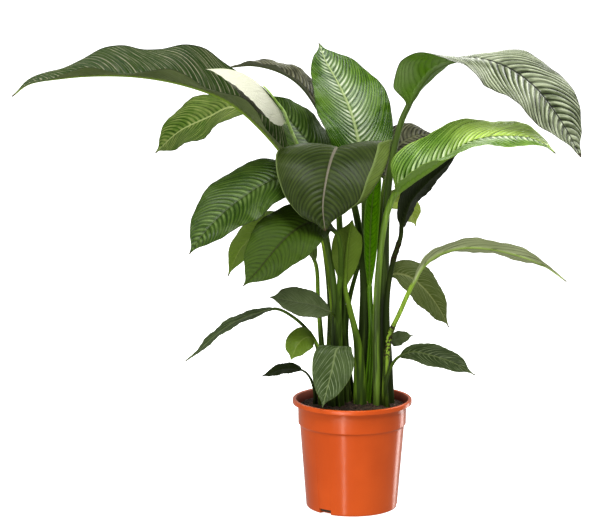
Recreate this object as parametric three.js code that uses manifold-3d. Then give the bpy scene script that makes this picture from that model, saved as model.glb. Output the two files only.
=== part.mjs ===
// Potted peace lily: a clump of long-stalked, ribbed leaves and one white flower,
// growing in soil in a round plastic nursery pot.
// Millimetres, +Z up. The origin is the middle of the pot's underside, and the
// plant's front faces -Y. Each leaf is one body with its stalk; stalks stand in
// plain blind holes in the soil.
import * as THREE from 'three';
import { mergeVertices } from 'three/addons/utils/BufferGeometryUtils.js';
import Module from 'manifold-3d';

const wasm = await Module();
wasm.setup();

// ---- driving dimensions -------------------------------------------------

const GAP = 0.3; // clearance between touching pieces

// Pot
const POT_HEIGHT = 194;
const RIM_RADIUS = 105;
const RIM_INNER_RADIUS = 99;
const LIP_HEIGHT = 8; // skirt that hangs from the rim
const WALL = 2;
const COLLAR_RADIUS = 95.5; // straight band below the rim
const COLLAR_BOTTOM = 150;
const SHOULDER = 2.5; // height of the step under the band
const BODY_TOP_RADIUS = 92;
const BASE_RADIUS = 80.5;
const BASE_ROUND = 3.5;
const FLOOR = 2.4;
const RIM_THICKNESS = 2.4;
const FLARE_HEIGHT = 12; // top part of the wall, which leans out to the rim
const EDGE = 1.4; // rounding of the rim's two edges
const DRAFT = 0.6; // how much a moulded face leans over its height
const POT_SIDES = 36;
const DRAIN_COUNT = 3;
const DRAIN_WIDTH = 24;
const DRAIN_HEIGHT = 9;
const DRAIN_INNER_RADIUS = 70;
const DRAIN_FIRST_ANGLE = -127; // degrees from +X

// Soil
const SOIL_GAP = 0.45; // clearance between the soil and the wall
const SOIL_CROWN_HEIGHT = 185;
const SOIL_SURFACE = [[84, 181.2], [62, 183.2], [34, 184.6], [0, SOIL_CROWN_HEIGHT]];
const SOIL_EDGE_HEIGHT = 180;
const HOLE_SIDES = 8;
const HOLE_OVERRUN = 6; // how far a hole's cutter stands above the soil
const HOLE_SLACK = 0.15; // more room where a curved stalk leans in its straight hole

// Leaves
const BLADE_THICKNESS = 1;
const TIP_HALF_WIDTH = 0.9;
const TIP_RIB_RADIUS = 0.7;
const SHEATH_POWER = 1.3; // how fast a stalk slims above its foot
const COLLAR_SHARE = 0.07; // share of the blade in which the stalk flattens out
const CURL_POWER = 1.5;
const RIB_SHARE = 0.9; // a midrib's radius at the blade's base, against the stalk's
const RIB_TAPER = 0.8;
const RIB_DEPTH = 1.5; // how far the rib stands below the blade, in rib radii
const RIB_SIDE_DEPTH = 0.75;
const RIDGE_ROOM = 0.5; // most of the way to the middle that a lower face may lean
const WIDEST_RIB = 0.3; // most of a half-blade that the rib may take
const RIGHT_WAVE_SHIFT = 0.37; // waves of the right margin, against the left one's
const WAVE_FADE = 0.7;
const BROAD_LEAF = 60; // width from which a half-blade is split in two
const LARGE_LEAF = 100;
const STALK_ROW_SPACING = 70;
const DIRECTION_REACH = 4; // length on either side over which a route's direction is read
const PATH_STEPS = 240;
const SECTION_STEPS = 16;

// Flower
const SCAPE = {
  radii: [4.6, 4, 3.6, 3.4, 1.4], rows: 12, columns: 4,
  route: [
    [-24, 2, 172], [-29, -2, 334], [-47, 2, 493], [-80, 2, 601], [-99, -8, 647],
    [-107, -22, 668], [-112.7, -38, 684.3], [-119.1, -56.1, 703.6], [-131.4, -74.5, 721.7],
    [-142.8, -88.7, 738], [-153.5, -94.6, 750],
  ],
};
const SPADIX = {
  radii: [2.4, 4.2, 4.2, 2.8], rows: 6, columns: 5,
  route: [
    [-128, -56, 695.4], [-140, -75, 710.4], [-155, -93, 727.4], [-168, -99, 741.4],
  ],
};

// A shoot that has only just left the soil
const SHOOT = {
  radii: [1.8, 1.7, 1.3, 0.6], rows: 5, columns: 4,
  route: [[1, 22, 172], [1, 22, 186], [-1, 20, 198], [-5, 18, 210]],
};

// Where each leaf runs: from its foot in the soil up the stalk, through the base of
// the blade (point number bladeFrom) to the tip. The azimuth is the compass bearing
// that the leaf faces along, in degrees from +X. Roll, folds and curls are degrees,
// spaced evenly from the blade's base to its tip. A wave is its height, how many
// there are and where they start.
const LEAVES = [
  {
    name: 'leaf_long_left', bladeFrom: 3, width: 132, widest: 0.42, sharpness: 1.35,
    route: [
      [-28, 16, 172], [-34, 12, 367], [-61, 4, 510], [-106, -8, 607], [-157, -30, 673],
      [-214, -54, 723], [-285, -79, 752], [-359, -101, 767], [-431, -118, 770], [-489, -135, 766],
      [-540, -149, 757], [-565, -164, 738],
    ],
    azimuth: 180, roll: [0], foldLeft: [14, 12, 12], foldRight: [64, 58, 44], curl: [5, 6],
    wave: [8, 4, 0.15], foot: 8.5, neck: 4,
  },
  {
    name: 'leaf_mid_left', bladeFrom: 4, width: 112, widest: 0.5, sharpness: 0.8,
    route: [
      [-42, 32, 172], [-35, 58, 359], [-64, 84, 526], [-124, 106, 647], [-174, 116, 689],
      [-217, 132, 696], [-257, 148, 677], [-309, 160, 651], [-355, 174, 610],
    ],
    azimuth: 160, roll: [-36, -50], foldLeft: [12], foldRight: [14], curl: [-12, -12],
    wave: [4, 3, 0.3], foot: 8.5, neck: 4.6,
  },
  {
    name: 'leaf_back_arching', bladeFrom: 4, width: 76, widest: 0.35, sharpness: 0.9,
    route: [
      [-16, 48, 172], [-18, 86, 354], [-23, 150, 527], [-34, 190, 623], [-52, 205, 678],
      [-87, 208, 729], [-125, 219, 754], [-176, 230, 766], [-226, 240, 761],
    ],
    azimuth: 165, roll: [-18, -10], foldLeft: [26], foldRight: [12], curl: [10, -10],
    wave: [2.5, 4, 0.1], foot: 7.5, neck: 4.3,
  },
  {
    name: 'leaf_back_dark', bladeFrom: 3, width: 98, widest: 0.45, sharpness: 0.8,
    route: [
      [-20, 32, 172], [-19, 54, 360], [-21, 70, 483], [-35, 84, 574], [-62, 92, 618],
      [-92, 96, 655], [-122, 94, 691], [-149, 88, 723],
    ],
    azimuth: 165, roll: [-30, -30], foldLeft: [12], foldRight: [12], curl: [-10, -10],
    wave: [3, 3, 0.1], foot: 7.5, neck: 4.3,
  },
  {
    name: 'leaf_tall_centre', bladeFrom: 3, width: 148, widest: 0.48, sharpness: 0.9,
    route: [
      [22, 34, 172], [23, 44, 361], [23, 50, 486], [21, 60, 565], [12, 74, 636],
      [-3, 94, 694], [-28, 118, 747], [-47, 134, 780], [-58, 150, 810],
    ],
    azimuth: 114, roll: [0], foldLeft: [18], foldRight: [18], curl: [-12, -12],
    wave: [4, 3, 0.2], foot: 10, neck: 6,
  },
  {
    name: 'leaf_front_arching', bladeFrom: 3, width: 196, widest: 0.5, sharpness: 0.75,
    route: [
      [16, 16, 172], [22, 16, 366], [13, 18, 481], [-7, 20, 575], [-20, -20, 631],
      [-29, -64, 644], [-40, -104, 626], [-49, -132, 592], [-54, -146, 552], [-50, -150, 512],
    ],
    azimuth: -90, roll: [0], foldLeft: [14], foldRight: [12], curl: [-24, -40],
    wave: [3, 3, 0], foot: 9, neck: 5.6,
  },
  {
    name: 'leaf_left_upper_droop', bladeFrom: 3, width: 120, widest: 0.45, sharpness: 0.85,
    route: [
      [-38, 2, 172], [-31, -22, 373], [-47, -28, 479], [-80, -40, 561], [-119, -60, 591],
      [-155, -77, 582], [-188, -88, 562], [-222, -111, 537], [-250, -131, 510], [-277, -147, 473],
    ],
    azimuth: 205, roll: [-26, -36], foldLeft: [12], foldRight: [12], curl: [-22, -16],
    wave: [4, 3, 0.1], foot: 6.5, neck: 5,
  },
  {
    name: 'leaf_left_lower_droop', bladeFrom: 3, width: 110, widest: 0.46, sharpness: 0.85,
    route: [
      [-22, -14, 172], [-25, -46, 377], [-22, -64, 450], [-29, -76, 497], [-51, -84, 517],
      [-78, -101, 519], [-109, -128, 504], [-140, -152, 474], [-163, -172, 448], [-186, -190, 426],
    ],
    azimuth: 215, roll: [-30, -36], foldLeft: [10], foldRight: [10], curl: [-16, -12],
    wave: [4, 3, 0.2], foot: 8.5, neck: 4.1,
  },
  {
    name: 'leaf_left_pale', bladeFrom: 2, width: 84, widest: 0.5, sharpness: 0.8,
    route: [
      [-46, 16, 172], [-60, 14, 367], [-64, 16, 429], [-81, 20, 469], [-117, 20, 494],
      [-158, 18, 490], [-195, 19, 458], [-219, 24, 408],
    ],
    azimuth: 180, roll: [-26, -36], foldLeft: [10], foldRight: [10], curl: [-10, -10],
    wave: [3, 3, 0.2], foot: 5.5, neck: 3.4,
  },
  {
    name: 'leaf_top_right', bladeFrom: 5, width: 156, widest: 0.42, sharpness: 0.62,
    route: [
      [52, 10, 172], [55, 10, 367], [60, 20, 543], [72, 26, 630], [85, 24, 682],
      [95, 20, 705], [113, 8, 741], [141, -8, 776], [196, -29, 794], [255, -52, 781],
      [306, -73, 745], [350, -92, 686], [379, -110, 632],
    ],
    azimuth: -14, roll: [-55, -45, 0, 28, 32, 34, 30], foldLeft: [60, 44, 4, -4, 8, 16, 12],
    foldRight: [4, 4, 8, 8, 8, 8, 8], curl: [-14, -16],
    wave: [4, 4, 0.2], foot: 9.5, neck: 5.3,
  },
  {
    name: 'leaf_right_bright', bladeFrom: 4, width: 148, widest: 0.36, sharpness: 0.66,
    route: [
      [44, -8, 172], [42, -14, 372], [50, -16, 478], [60, -18, 530], [72, -20, 558],
      [99, -27, 582], [131, -37, 605], [164, -47, 630], [192, -60, 651], [225, -73, 662],
      [257, -84, 665], [289, -97, 664], [315, -106, 655], [336, -116, 639],
    ],
    azimuth: -14, roll: [0], foldLeft: [66, 54, 34, 20, 14, 10],
    foldRight: [12, 10, 0, -10, -14, -10], curl: [4, 0],
    wave: [4, 3, 0], foot: 7, neck: 5.5,
  },
  {
    name: 'leaf_right_dark', bladeFrom: 3.6, width: 76, widest: 0.4, sharpness: 0.8,
    route: [
      [68, 4, 172], [60, -8, 371], [70, -2, 437], [84, 8, 481], [86, 20, 501],
      [99, 34, 538], [130, 54, 571], [163, 72, 597], [188, 86, 620],
    ],
    azimuth: 20, roll: [-50, -50], foldLeft: [8], foldRight: [8], curl: [-10, -10],
    wave: [2, 3, 0], foot: 7, neck: 3.9,
  },
  {
    name: 'leaf_right_behind', bladeFrom: 3, width: 84, widest: 0.4, sharpness: 0.7,
    route: [
      [46, 28, 172], [50, 40, 362], [50, 60, 502], [59, 80, 571], [70, 100, 612],
      [87, 119, 631], [115, 139, 644], [150, 158, 646],
    ],
    azimuth: 30, roll: [40, 40], foldLeft: [8], foldRight: [8], curl: [-10, -10],
    wave: [2, 3, 0], foot: 7, neck: 3.9,
  },
  {
    name: 'leaf_right_blotched', bladeFrom: 4, width: 56, widest: 0.4, sharpness: 0.7,
    route: [
      [2, 44, 172], [-10, 53, 315], [11, 62, 416], [47, 80, 496], [64, 89, 519],
      [79, 98, 530], [96, 107, 527], [109, 115, 509], [117, 122, 483],
    ],
    azimuth: 0, roll: [40, 50], foldLeft: [8], foldRight: [8], curl: [-10, -10],
    wave: [2, 3, 0], foot: 5, neck: 2.9,
  },
  {
    name: 'leaf_young_rolled', bladeFrom: 2, width: 84, widest: 0.55, sharpness: 0.7,
    route: [
      [26, 4, 172], [33, 2, 315], [30, 2, 387], [30, 4, 457], [32, 6, 518],
      [38, 8, 571], [50, 12, 614],
    ],
    azimuth: 90, roll: [0], foldLeft: [50], foldRight: [50], curl: [60, 60],
    wave: [2, 3, 0], foot: 6.5, neck: 4.5,
  },
  {
    name: 'leaf_right_droop', bladeFrom: 3.6, width: 80, widest: 0.42, sharpness: 1,
    route: [
      [66, 24, 172], [64, 40, 300], [60, 44, 352], [61, 46, 386], [72, 51, 406],
      [100, 61, 402], [130, 73, 377], [157, 86, 340], [177, 100, 302],
    ],
    azimuth: 12, roll: [50, 50], foldLeft: [8], foldRight: [8], curl: [-14, -14],
    wave: [2, 3, 0], foot: 7, neck: 3.2,
  },
  {
    name: 'leaf_right_narrow', bladeFrom: 4, width: 48, widest: 0.55, sharpness: 0.8,
    route: [
      [56, -8, 172], [59, -16, 244], [65, -20, 311], [82, -24, 352], [99, -28, 393],
      [117, -32, 431], [144, -45, 457], [185, -62, 472], [230, -80, 473], [278, -98, 464],
      [322, -115, 448], [357, -130, 424],
    ],
    azimuth: -14, roll: [-10, -30, -38, -40, -20], foldLeft: [8], foldRight: [10], curl: [-5, -5],
    wave: [2, 4, 0], foot: 5, neck: 3.9,
  },
  {
    name: 'leaf_low_left', bladeFrom: 4, width: 56, widest: 0.5, sharpness: 0.75,
    route: [
      [-6, 8, 172], [-11, -4, 263], [-15, -14, 308], [-26, -24, 336], [-38, -42, 354],
      [-68, -63, 371], [-104, -85, 382], [-143, -106, 393],
    ],
    azimuth: 205, roll: [-55, -55], foldLeft: [10], foldRight: [10], curl: [-12, -12],
    wave: [1.5, 3, 0], foot: 5.2, neck: 2.2,
  },
  {
    name: 'leaf_low_long', bladeFrom: 5, width: 32, widest: 0.45, sharpness: 0.85,
    route: [
      [-48, 6, 172], [-57, 0, 244], [-62, -2, 287], [-78, -4, 315], [-104, -6, 340],
      [-134, -8, 355], [-171, -3, 345], [-211, 5, 327], [-247, 13, 299], [-272, 24, 273],
      [-296, 36, 253],
    ],
    azimuth: 170, roll: [-28, -30], foldLeft: [8], foldRight: [8], curl: [-6, -6],
    wave: [1.5, 4, 0], foot: 4.2, neck: 2.5,
  },
  {
    name: 'leaf_low_pale', bladeFrom: 3, width: 48, widest: 0.45, sharpness: 0.7,
    route: [
      [-56, -8, 172], [-59, -20, 239], [-57, -22, 281], [-66, -24, 301], [-78, -35, 310],
      [-94, -49, 302], [-108, -62, 275],
    ],
    azimuth: 205, roll: [-40, -50], foldLeft: [6], foldRight: [6], curl: [-10, -10],
    wave: [1, 3, 0], foot: 3.6, neck: 2,
  },
  {
    name: 'leaf_low_thin', bladeFrom: 3, width: 28, widest: 0.45, sharpness: 0.8,
    route: [
      [-66, -2, 172], [-66, -10, 207], [-76, -14, 236], [-88, -16, 247], [-120, -6, 247],
      [-159, 6, 232],
    ],
    azimuth: 170, roll: [-34, -34], foldLeft: [10], foldRight: [10], curl: [-6, -6],
    wave: [1, 3, 0], foot: 3.4, neck: 1.8,
  },
  {
    name: 'leaf_low_front', bladeFrom: 2.6, width: 72, widest: 0.36, sharpness: 1,
    route: [
      [-36, -22, 172], [-35, -44, 250], [-26, -58, 287], [-23, -70, 300], [-30, -84, 296],
      [-37, -94, 266], [-46, -98, 230], [-54, -98, 198],
    ],
    azimuth: -95, roll: [0], foldLeft: [6], foldRight: [6], curl: [-14, -14],
    wave: [2, 3, 0], foot: 5, neck: 2.7,
  },
  {
    name: 'leaf_low_right', bladeFrom: 3, width: 48, widest: 0.45, sharpness: 0.95,
    route: [
      [62, -24, 172], [58, -36, 225], [66, -42, 258], [78, -54, 278], [101, -67, 290],
      [131, -84, 288], [168, -101, 279], [206, -116, 260],
    ],
    azimuth: -22, roll: [36, 40], foldLeft: [8], foldRight: [8], curl: [-10, -10],
    wave: [1.5, 3, 0], foot: 5, neck: 2.5,
  },
  {
    name: 'leaf_low_back', bladeFrom: 3, width: 32, widest: 0.35, sharpness: 0.9,
    route: [
      [60, 50, 172], [62, 54, 232], [63, 54, 268], [68, 52, 284], [84, 48, 291],
      [108, 42, 298],
    ],
    azimuth: 10, roll: [40, 40], foldLeft: [8], foldRight: [8], curl: [-10, -10],
    wave: [1, 3, 0], foot: 3.4, neck: 1.8,
  },
  {
    name: 'leaf_centre_pale', bladeFrom: 3, width: 56, widest: 0.6, sharpness: 0.6,
    route: [
      [14, -8, 172], [9, -20, 293], [-5, -32, 357], [-14, -40, 397], [-13, -44, 443],
      [-9, -44, 482], [-2, -36, 515],
    ],
    azimuth: -90, roll: [0], foldLeft: [16], foldRight: [16], curl: [10, 10],
    wave: [2, 3, 0], foot: 9.1, neck: 4.3,
  },
];
const SPATHE = {
  bladeFrom: 0, width: 84, widest: 0.46, sharpness: 0.8,
  route: [
    [-116, -38, 681], [-123, -56, 701], [-134, -75, 720], [-146, -90, 736], [-162, -97, 755],
    [-184, -102, 770], [-212, -104, 779], [-250, -104, 779],
  ],
  azimuth: 200, roll: [0], foldLeft: [-50, -52, -50, -40], foldRight: [-50, -52, -50, -40],
  curl: [-4, -4],
  wave: [1, 3, 0], foot: 1.2, neck: 1.2,
};

const COLOURS = {
  pot: '#d0562a', soil: '#2e211b', flower_stalk: '#9fb066', spathe: '#f0eedd', spadix: '#e3dcae',
  young_shoot: '#a9b84a',
  leaf_long_left: '#47602f', leaf_mid_left: '#3f6a2a', leaf_back_arching: '#5c6048',
  leaf_back_dark: '#35601f', leaf_tall_centre: '#4f8a33', leaf_front_arching: '#4c5a3e',
  leaf_left_upper_droop: '#37612a', leaf_left_lower_droop: '#30561f', leaf_left_pale: '#86a63c',
  leaf_top_right: '#6f9150', leaf_right_bright: '#6cab33', leaf_right_dark: '#2f4a20',
  leaf_right_behind: '#595f50', leaf_right_blotched: '#93ab55', leaf_young_rolled: '#66a531',
  leaf_right_droop: '#59692f', leaf_right_narrow: '#8aa07c', leaf_low_left: '#3d5631',
  leaf_low_long: '#3c4f2b', leaf_low_pale: '#6f9a45', leaf_low_thin: '#3a4a2b',
  leaf_low_front: '#4c7a3c', leaf_low_right: '#3c6428', leaf_low_back: '#4a6632',
  leaf_centre_pale: '#63823f',
};
const ROUGHNESS = { pot: 0.35, soil: 0.95, leaf: 0.45, flower: 0.5 };

// ---- helpers ------------------------------------------------------------

const radians = THREE.MathUtils.degToRad;

// value at t (0 to 1) of a list whose entries are spaced evenly
function listAt(values, t) {
  const place = t * (values.length - 1);
  const first = Math.min(Math.floor(place), Math.max(values.length - 2, 0));
  const next = Math.min(first + 1, values.length - 1);
  return THREE.MathUtils.lerp(values[first], values[next], place - first);
}

// a route as a curve that is read by the length along it
function measuredPath(route) {
  const points = route.map((point) => new THREE.Vector3(...point));
  const curve = new THREE.CatmullRomCurve3(points, false, 'centripetal');
  const samples = curve.getPoints(PATH_STEPS);
  const lengths = [0];
  for (let i = 1; i < samples.length; i += 1) {
    lengths.push(lengths[i - 1] + samples[i].distanceTo(samples[i - 1]));
  }
  const total = lengths[PATH_STEPS];
  const pointAt = (length) => {
    const wanted = THREE.MathUtils.clamp(length, 0, total);
    let i = 1;
    while (i < PATH_STEPS && lengths[i] < wanted) i += 1;
    const share = (wanted - lengths[i - 1]) / (lengths[i] - lengths[i - 1]);
    return samples[i - 1].clone().lerp(samples[i], share);
  };
  // length at a route point, which may lie between two of them
  const lengthAt = (pointNumber) => {
    const place = (pointNumber / (route.length - 1)) * PATH_STEPS;
    const i = Math.min(Math.floor(place), PATH_STEPS - 1);
    return THREE.MathUtils.lerp(lengths[i], lengths[i + 1], place - i);
  };
  return { pointAt, lengthAt, total };
}

// along, left and upper directions of a leaf at a length on its route
function leafFrame(path, leaf, length, t) {
  const ahead = path.pointAt(length + DIRECTION_REACH);
  const along = ahead.sub(path.pointAt(length - DIRECTION_REACH)).normalize();
  const bearing = radians(leaf.azimuth);
  const left = new THREE.Vector3(-Math.sin(bearing), Math.cos(bearing), 0);
  left.addScaledVector(along, -left.dot(along)).normalize();
  const up = new THREE.Vector3().crossVectors(along, left);
  const roll = radians(listAt(leaf.roll, t));
  const rolled = (first, second, turn) => first.clone().multiplyScalar(Math.cos(turn))
    .addScaledVector(second, Math.sin(turn));
  return { left: rolled(left, up, roll), up: rolled(up, left, -roll) };
}

// half-width of a blade: the beta curve (t^p)(1-t)^q, at its widest where the leaf says
function halfWidth(leaf, t) {
  const base = (leaf.sharpness * leaf.widest) / (1 - leaf.widest);
  const shape = (x) => x ** base * (1 - x) ** leaf.sharpness;
  return Math.max(((leaf.width / 2) * shape(t)) / shape(leaf.widest), TIP_HALF_WIDTH);
}

// where one half of a blade's section lies at a share of its width: out, up and slope
function sectionPoint(fold, curl, share) {
  let out = 0;
  let up = 0;
  for (let i = 0; i < SECTION_STEPS; i += 1) {
    const middle = (share * (i + 0.5)) / SECTION_STEPS;
    const angle = radians(fold + curl * middle ** CURL_POWER);
    out += (Math.cos(angle) * share) / SECTION_STEPS;
    up += (Math.sin(angle) * share) / SECTION_STEPS;
  }
  return { out, up, slope: radians(fold + curl * share ** CURL_POWER) };
}

// a closed body from rows of upper and lower points, split alike on both faces
function sheetGeometry(rows) {
  const columns = rows[0].upper.length;
  const points = [];
  const faces = [];
  for (const row of rows) points.push(...row.upper, ...row.lower);
  const upper = (i, j) => i * 2 * columns + j;
  const lower = (i, j) => i * 2 * columns + columns + j;
  const quad = (a, b, c, d) => faces.push(a, b, c, a, c, d);
  const last = rows.length - 1;
  const end = columns - 1;
  for (let i = 0; i < last; i += 1) {
    for (let j = 0; j < end; j += 1) {
      quad(upper(i, j), upper(i, j + 1), upper(i + 1, j + 1), upper(i + 1, j));
      faces.push(lower(i, j), lower(i + 1, j + 1), lower(i, j + 1));
      faces.push(lower(i, j), lower(i + 1, j), lower(i + 1, j + 1));
    }
    quad(upper(i, 0), upper(i + 1, 0), lower(i + 1, 0), lower(i, 0));
    quad(upper(i, end), lower(i, end), lower(i + 1, end), upper(i + 1, end));
  }
  for (let j = 0; j < end; j += 1) {
    quad(upper(0, j), lower(0, j), lower(0, j + 1), upper(0, j + 1));
    quad(upper(last, j), upper(last, j + 1), lower(last, j + 1), lower(last, j));
  }
  const geometry = new THREE.BufferGeometry();
  const position = new Float32Array(points.flatMap((point) => point.toArray()));
  geometry.setAttribute('position', new THREE.BufferAttribute(position, 3));
  geometry.setIndex(faces);
  return geometry;
}

function toManifold(geometry) {
  const bare = new THREE.BufferGeometry();
  bare.setAttribute('position', geometry.getAttribute('position'));
  bare.setIndex(geometry.index);
  const merged = mergeVertices(bare, 1e-4);
  const corners = merged.index.array;
  const triVerts = [];
  for (let i = 0; i < corners.length; i += 3) {
    const [a, b, c] = corners.slice(i, i + 3);
    if (a !== b && b !== c && c !== a) triVerts.push(a, b, c);
  }
  return new wasm.Manifold(new wasm.Mesh({
    numProp: 3,
    vertProperties: new Float32Array(merged.getAttribute('position').array),
    triVerts: new Uint32Array(triVerts),
  }));
}

function fromManifold(solid) {
  const { vertProperties, triVerts } = solid.getMesh();
  const geometry = new THREE.BufferGeometry();
  geometry.setAttribute('position', new THREE.BufferAttribute(vertProperties, 3));
  geometry.setIndex(new THREE.BufferAttribute(triVerts, 1));
  return geometry;
}

// a solid of revolution about Z from [radius, height] pairs
function turned(profile, sides) {
  const points = profile.map(([radius, height]) => new THREE.Vector2(radius, height));
  const geometry = new THREE.LatheGeometry(points, sides);
  geometry.rotateX(Math.PI / 2);
  return toManifold(geometry);
}

// ---- leaves -------------------------------------------------------------

function stalkRadius(leaf, share) {
  return leaf.neck + (leaf.foot - leaf.neck) * (1 - share) ** SHEATH_POWER;
}

// the round section of a stalk, as upper and lower points from its left to its right
function roundRow(centre, frame, radius, columns) {
  const upper = [];
  const lower = [];
  for (let j = 0; j < columns; j += 1) {
    const angle = Math.PI * ((j + 0.5) / columns);
    const side = centre.clone().addScaledVector(frame.left, radius * Math.cos(angle));
    upper.push(side.clone().addScaledVector(frame.up, radius * Math.sin(angle)));
    lower.push(side.addScaledVector(frame.up, -radius * Math.sin(angle)));
  }
  return { upper, lower };
}

// the section of a blade: a thin sheet in two halves with a rib below its middle
function bladeRow(leaf, centre, frame, t, shares) {
  const half = halfWidth(leaf, t);
  const ribAtBase = RIB_SHARE * leaf.neck;
  const rib = TIP_RIB_RADIUS + (ribAtBase - TIP_RIB_RADIUS) * (1 - t) ** RIB_TAPER;
  const envelope = Math.max(Math.sin(Math.PI * t), 0) ** WAVE_FADE;
  const [waveHeight, waveCount, waveStart] = leaf.wave;
  const upper = [];
  const lower = [];
  const place = (side, share, depth) => {
    const folds = side > 0 ? leaf.foldLeft : leaf.foldRight;
    const section = sectionPoint(listAt(folds, t), leaf.curl[side > 0 ? 0 : 1], share);
    const phase = waveCount * t + waveStart + (side > 0 ? 0 : RIGHT_WAVE_SHIFT);
    const wave = waveHeight * share ** 2 * Math.sin(2 * Math.PI * phase) * envelope;
    const point = centre.clone()
      .addScaledVector(frame.left, side * section.out * half)
      .addScaledVector(frame.up, section.up * half + wave);
    // under a ridge the two halves' lower faces stop short of each other
    const inward = Math.max(depth * Math.sin(section.slope), -RIDGE_ROOM * section.out * half);
    upper.push(point);
    lower.push(point.clone()
      .addScaledVector(frame.up, -depth * Math.cos(section.slope))
      .addScaledVector(frame.left, side * inward));
  };
  const ribSide = [Math.min(rib / half, WIDEST_RIB), BLADE_THICKNESS + RIB_SIDE_DEPTH * rib];
  const outward = [ribSide, ...shares.map((share) => [share, BLADE_THICKNESS])];
  for (const [share, depth] of [...outward].reverse()) place(1, share, depth);
  place(1, 0, BLADE_THICKNESS + RIB_DEPTH * rib);
  for (const [share, depth] of outward) place(-1, share, depth);
  return { upper, lower };
}

function mixRows(first, second, share) {
  const mix = (from, to) => from.map((point, j) => point.clone().lerp(to[j], share));
  return { upper: mix(first.upper, second.upper), lower: mix(first.lower, second.lower) };
}

function leafGeometry(leaf) {
  const path = measuredPath(leaf.route);
  const bladeStart = path.lengthAt(leaf.bladeFrom);
  const bladeLength = path.total - bladeStart;
  const shares = leaf.width >= BROAD_LEAF ? [0.5, 1] : [1];
  const columns = 3 + 2 * shares.length;
  const narrowRows = leaf.width >= BROAD_LEAF ? 12 : 8;
  const bladeRows = leaf.width >= LARGE_LEAF ? 15 : narrowRows;
  const evenRows = THREE.MathUtils.clamp(Math.round(bladeStart / STALK_ROW_SPACING), 3, 6);
  const stalkRows = bladeStart > 0 ? evenRows : 0;
  const rows = [];
  for (let i = 0; i < stalkRows; i += 1) {
    const length = (bladeStart * i) / stalkRows;
    const frame = leafFrame(path, leaf, length, 0);
    const radius = stalkRadius(leaf, i / stalkRows);
    rows.push(roundRow(path.pointAt(length), frame, radius, columns));
  }
  for (let i = 0; i <= bladeRows; i += 1) {
    const even = i / bladeRows;
    const t = (even + (1 - Math.cos(Math.PI * even)) / 2) / 2; // closer rows at both ends
    const length = bladeStart + bladeLength * t;
    const centre = path.pointAt(length);
    const frame = leafFrame(path, leaf, length, t);
    const flat = THREE.MathUtils.smoothstep(t, 0, COLLAR_SHARE);
    const round = roundRow(centre, frame, leaf.neck, columns);
    rows.push(mixRows(round, bladeRow(leaf, centre, frame, t, shares), flat));
  }
  return sheetGeometry(rows);
}

// what a stalk needs cut out of the soil: its own shape and a little more
function stalkHole(leaf) {
  const path = measuredPath(leaf.route);
  const bladeStart = path.lengthAt(leaf.bladeFrom);
  const holeLength = SOIL_CROWN_HEIGHT + HOLE_OVERRUN - leaf.route[0][2];
  const flats = 1 / Math.cos(Math.PI / HOLE_SIDES);
  const rings = [-GAP, holeLength / 2, holeLength].map((length) => {
    const centre = path.pointAt(length);
    if (length < 0) centre.z -= GAP;
    const stalk = stalkRadius(leaf, Math.max(length, 0) / bladeStart);
    const radius = (stalk + GAP + HOLE_SLACK) * flats;
    return roundRow(centre, leafFrame(path, leaf, length, 0), radius, HOLE_SIDES / 2);
  });
  return toManifold(sheetGeometry(rings));
}

// ---- pot and soil -------------------------------------------------------

function potSolid() {
  const top = POT_HEIGHT;
  const underRim = top - RIM_THICKNESS;
  const foot = (1 - Math.SQRT1_2) * BASE_ROUND; // middle of the foot's rounding
  const lipInner = RIM_RADIUS - WALL;
  const collarInner = COLLAR_RADIUS - WALL;
  const baseInner = BASE_RADIUS - WALL;
  let pot = turned([
    [0, 0],
    [BASE_RADIUS - BASE_ROUND, 0],
    [BASE_RADIUS - foot, foot],
    [BASE_RADIUS, BASE_ROUND],
    [BODY_TOP_RADIUS, COLLAR_BOTTOM - SHOULDER],
    [COLLAR_RADIUS - DRAFT, COLLAR_BOTTOM],
    [COLLAR_RADIUS, top - FLARE_HEIGHT],
    [RIM_INNER_RADIUS + EDGE, underRim],
    [lipInner - DRAFT, underRim],
    [lipInner, top - LIP_HEIGHT],
    [RIM_RADIUS, top - LIP_HEIGHT],
    [RIM_RADIUS, top - EDGE],
    [RIM_RADIUS - EDGE, top],
    [RIM_INNER_RADIUS + EDGE, top],
    [RIM_INNER_RADIUS, top - EDGE],
    [collarInner, top - FLARE_HEIGHT],
    [collarInner - DRAFT, COLLAR_BOTTOM],
    [BODY_TOP_RADIUS - WALL, COLLAR_BOTTOM - SHOULDER],
    [baseInner, BASE_ROUND + FLOOR],
    [baseInner - BASE_ROUND, FLOOR],
    [0, FLOOR],
  ], POT_SIDES);
  const reach = 2 * (BASE_RADIUS - DRAIN_INNER_RADIUS);
  for (let i = 0; i < DRAIN_COUNT; i += 1) {
    const slot = new THREE.BoxGeometry(reach, DRAIN_WIDTH, 2 * DRAIN_HEIGHT);
    slot.translate(DRAIN_INNER_RADIUS + reach / 2, 0, 0);
    slot.rotateZ(radians(DRAIN_FIRST_ANGLE + (360 * i) / DRAIN_COUNT));
    pot = pot.subtract(toManifold(slot));
  }
  return pot;
}

function soilSolid(rooted) {
  const fit = (radius) => radius - WALL - SOIL_GAP;
  let soil = turned([
    [0, FLOOR + GAP],
    [fit(BASE_RADIUS) - BASE_ROUND, FLOOR + GAP],
    [fit(BASE_RADIUS), BASE_ROUND + FLOOR + GAP],
    [fit(BODY_TOP_RADIUS), COLLAR_BOTTOM - SHOULDER + GAP],
    [fit(COLLAR_RADIUS) - DRAFT, COLLAR_BOTTOM + GAP],
    [fit(COLLAR_RADIUS), SOIL_EDGE_HEIGHT],
    ...SOIL_SURFACE,
  ], POT_SIDES);
  for (const piece of rooted) soil = soil.subtract(stalkHole(piece));
  return soil;
}

// ---- flower -------------------------------------------------------------

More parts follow.
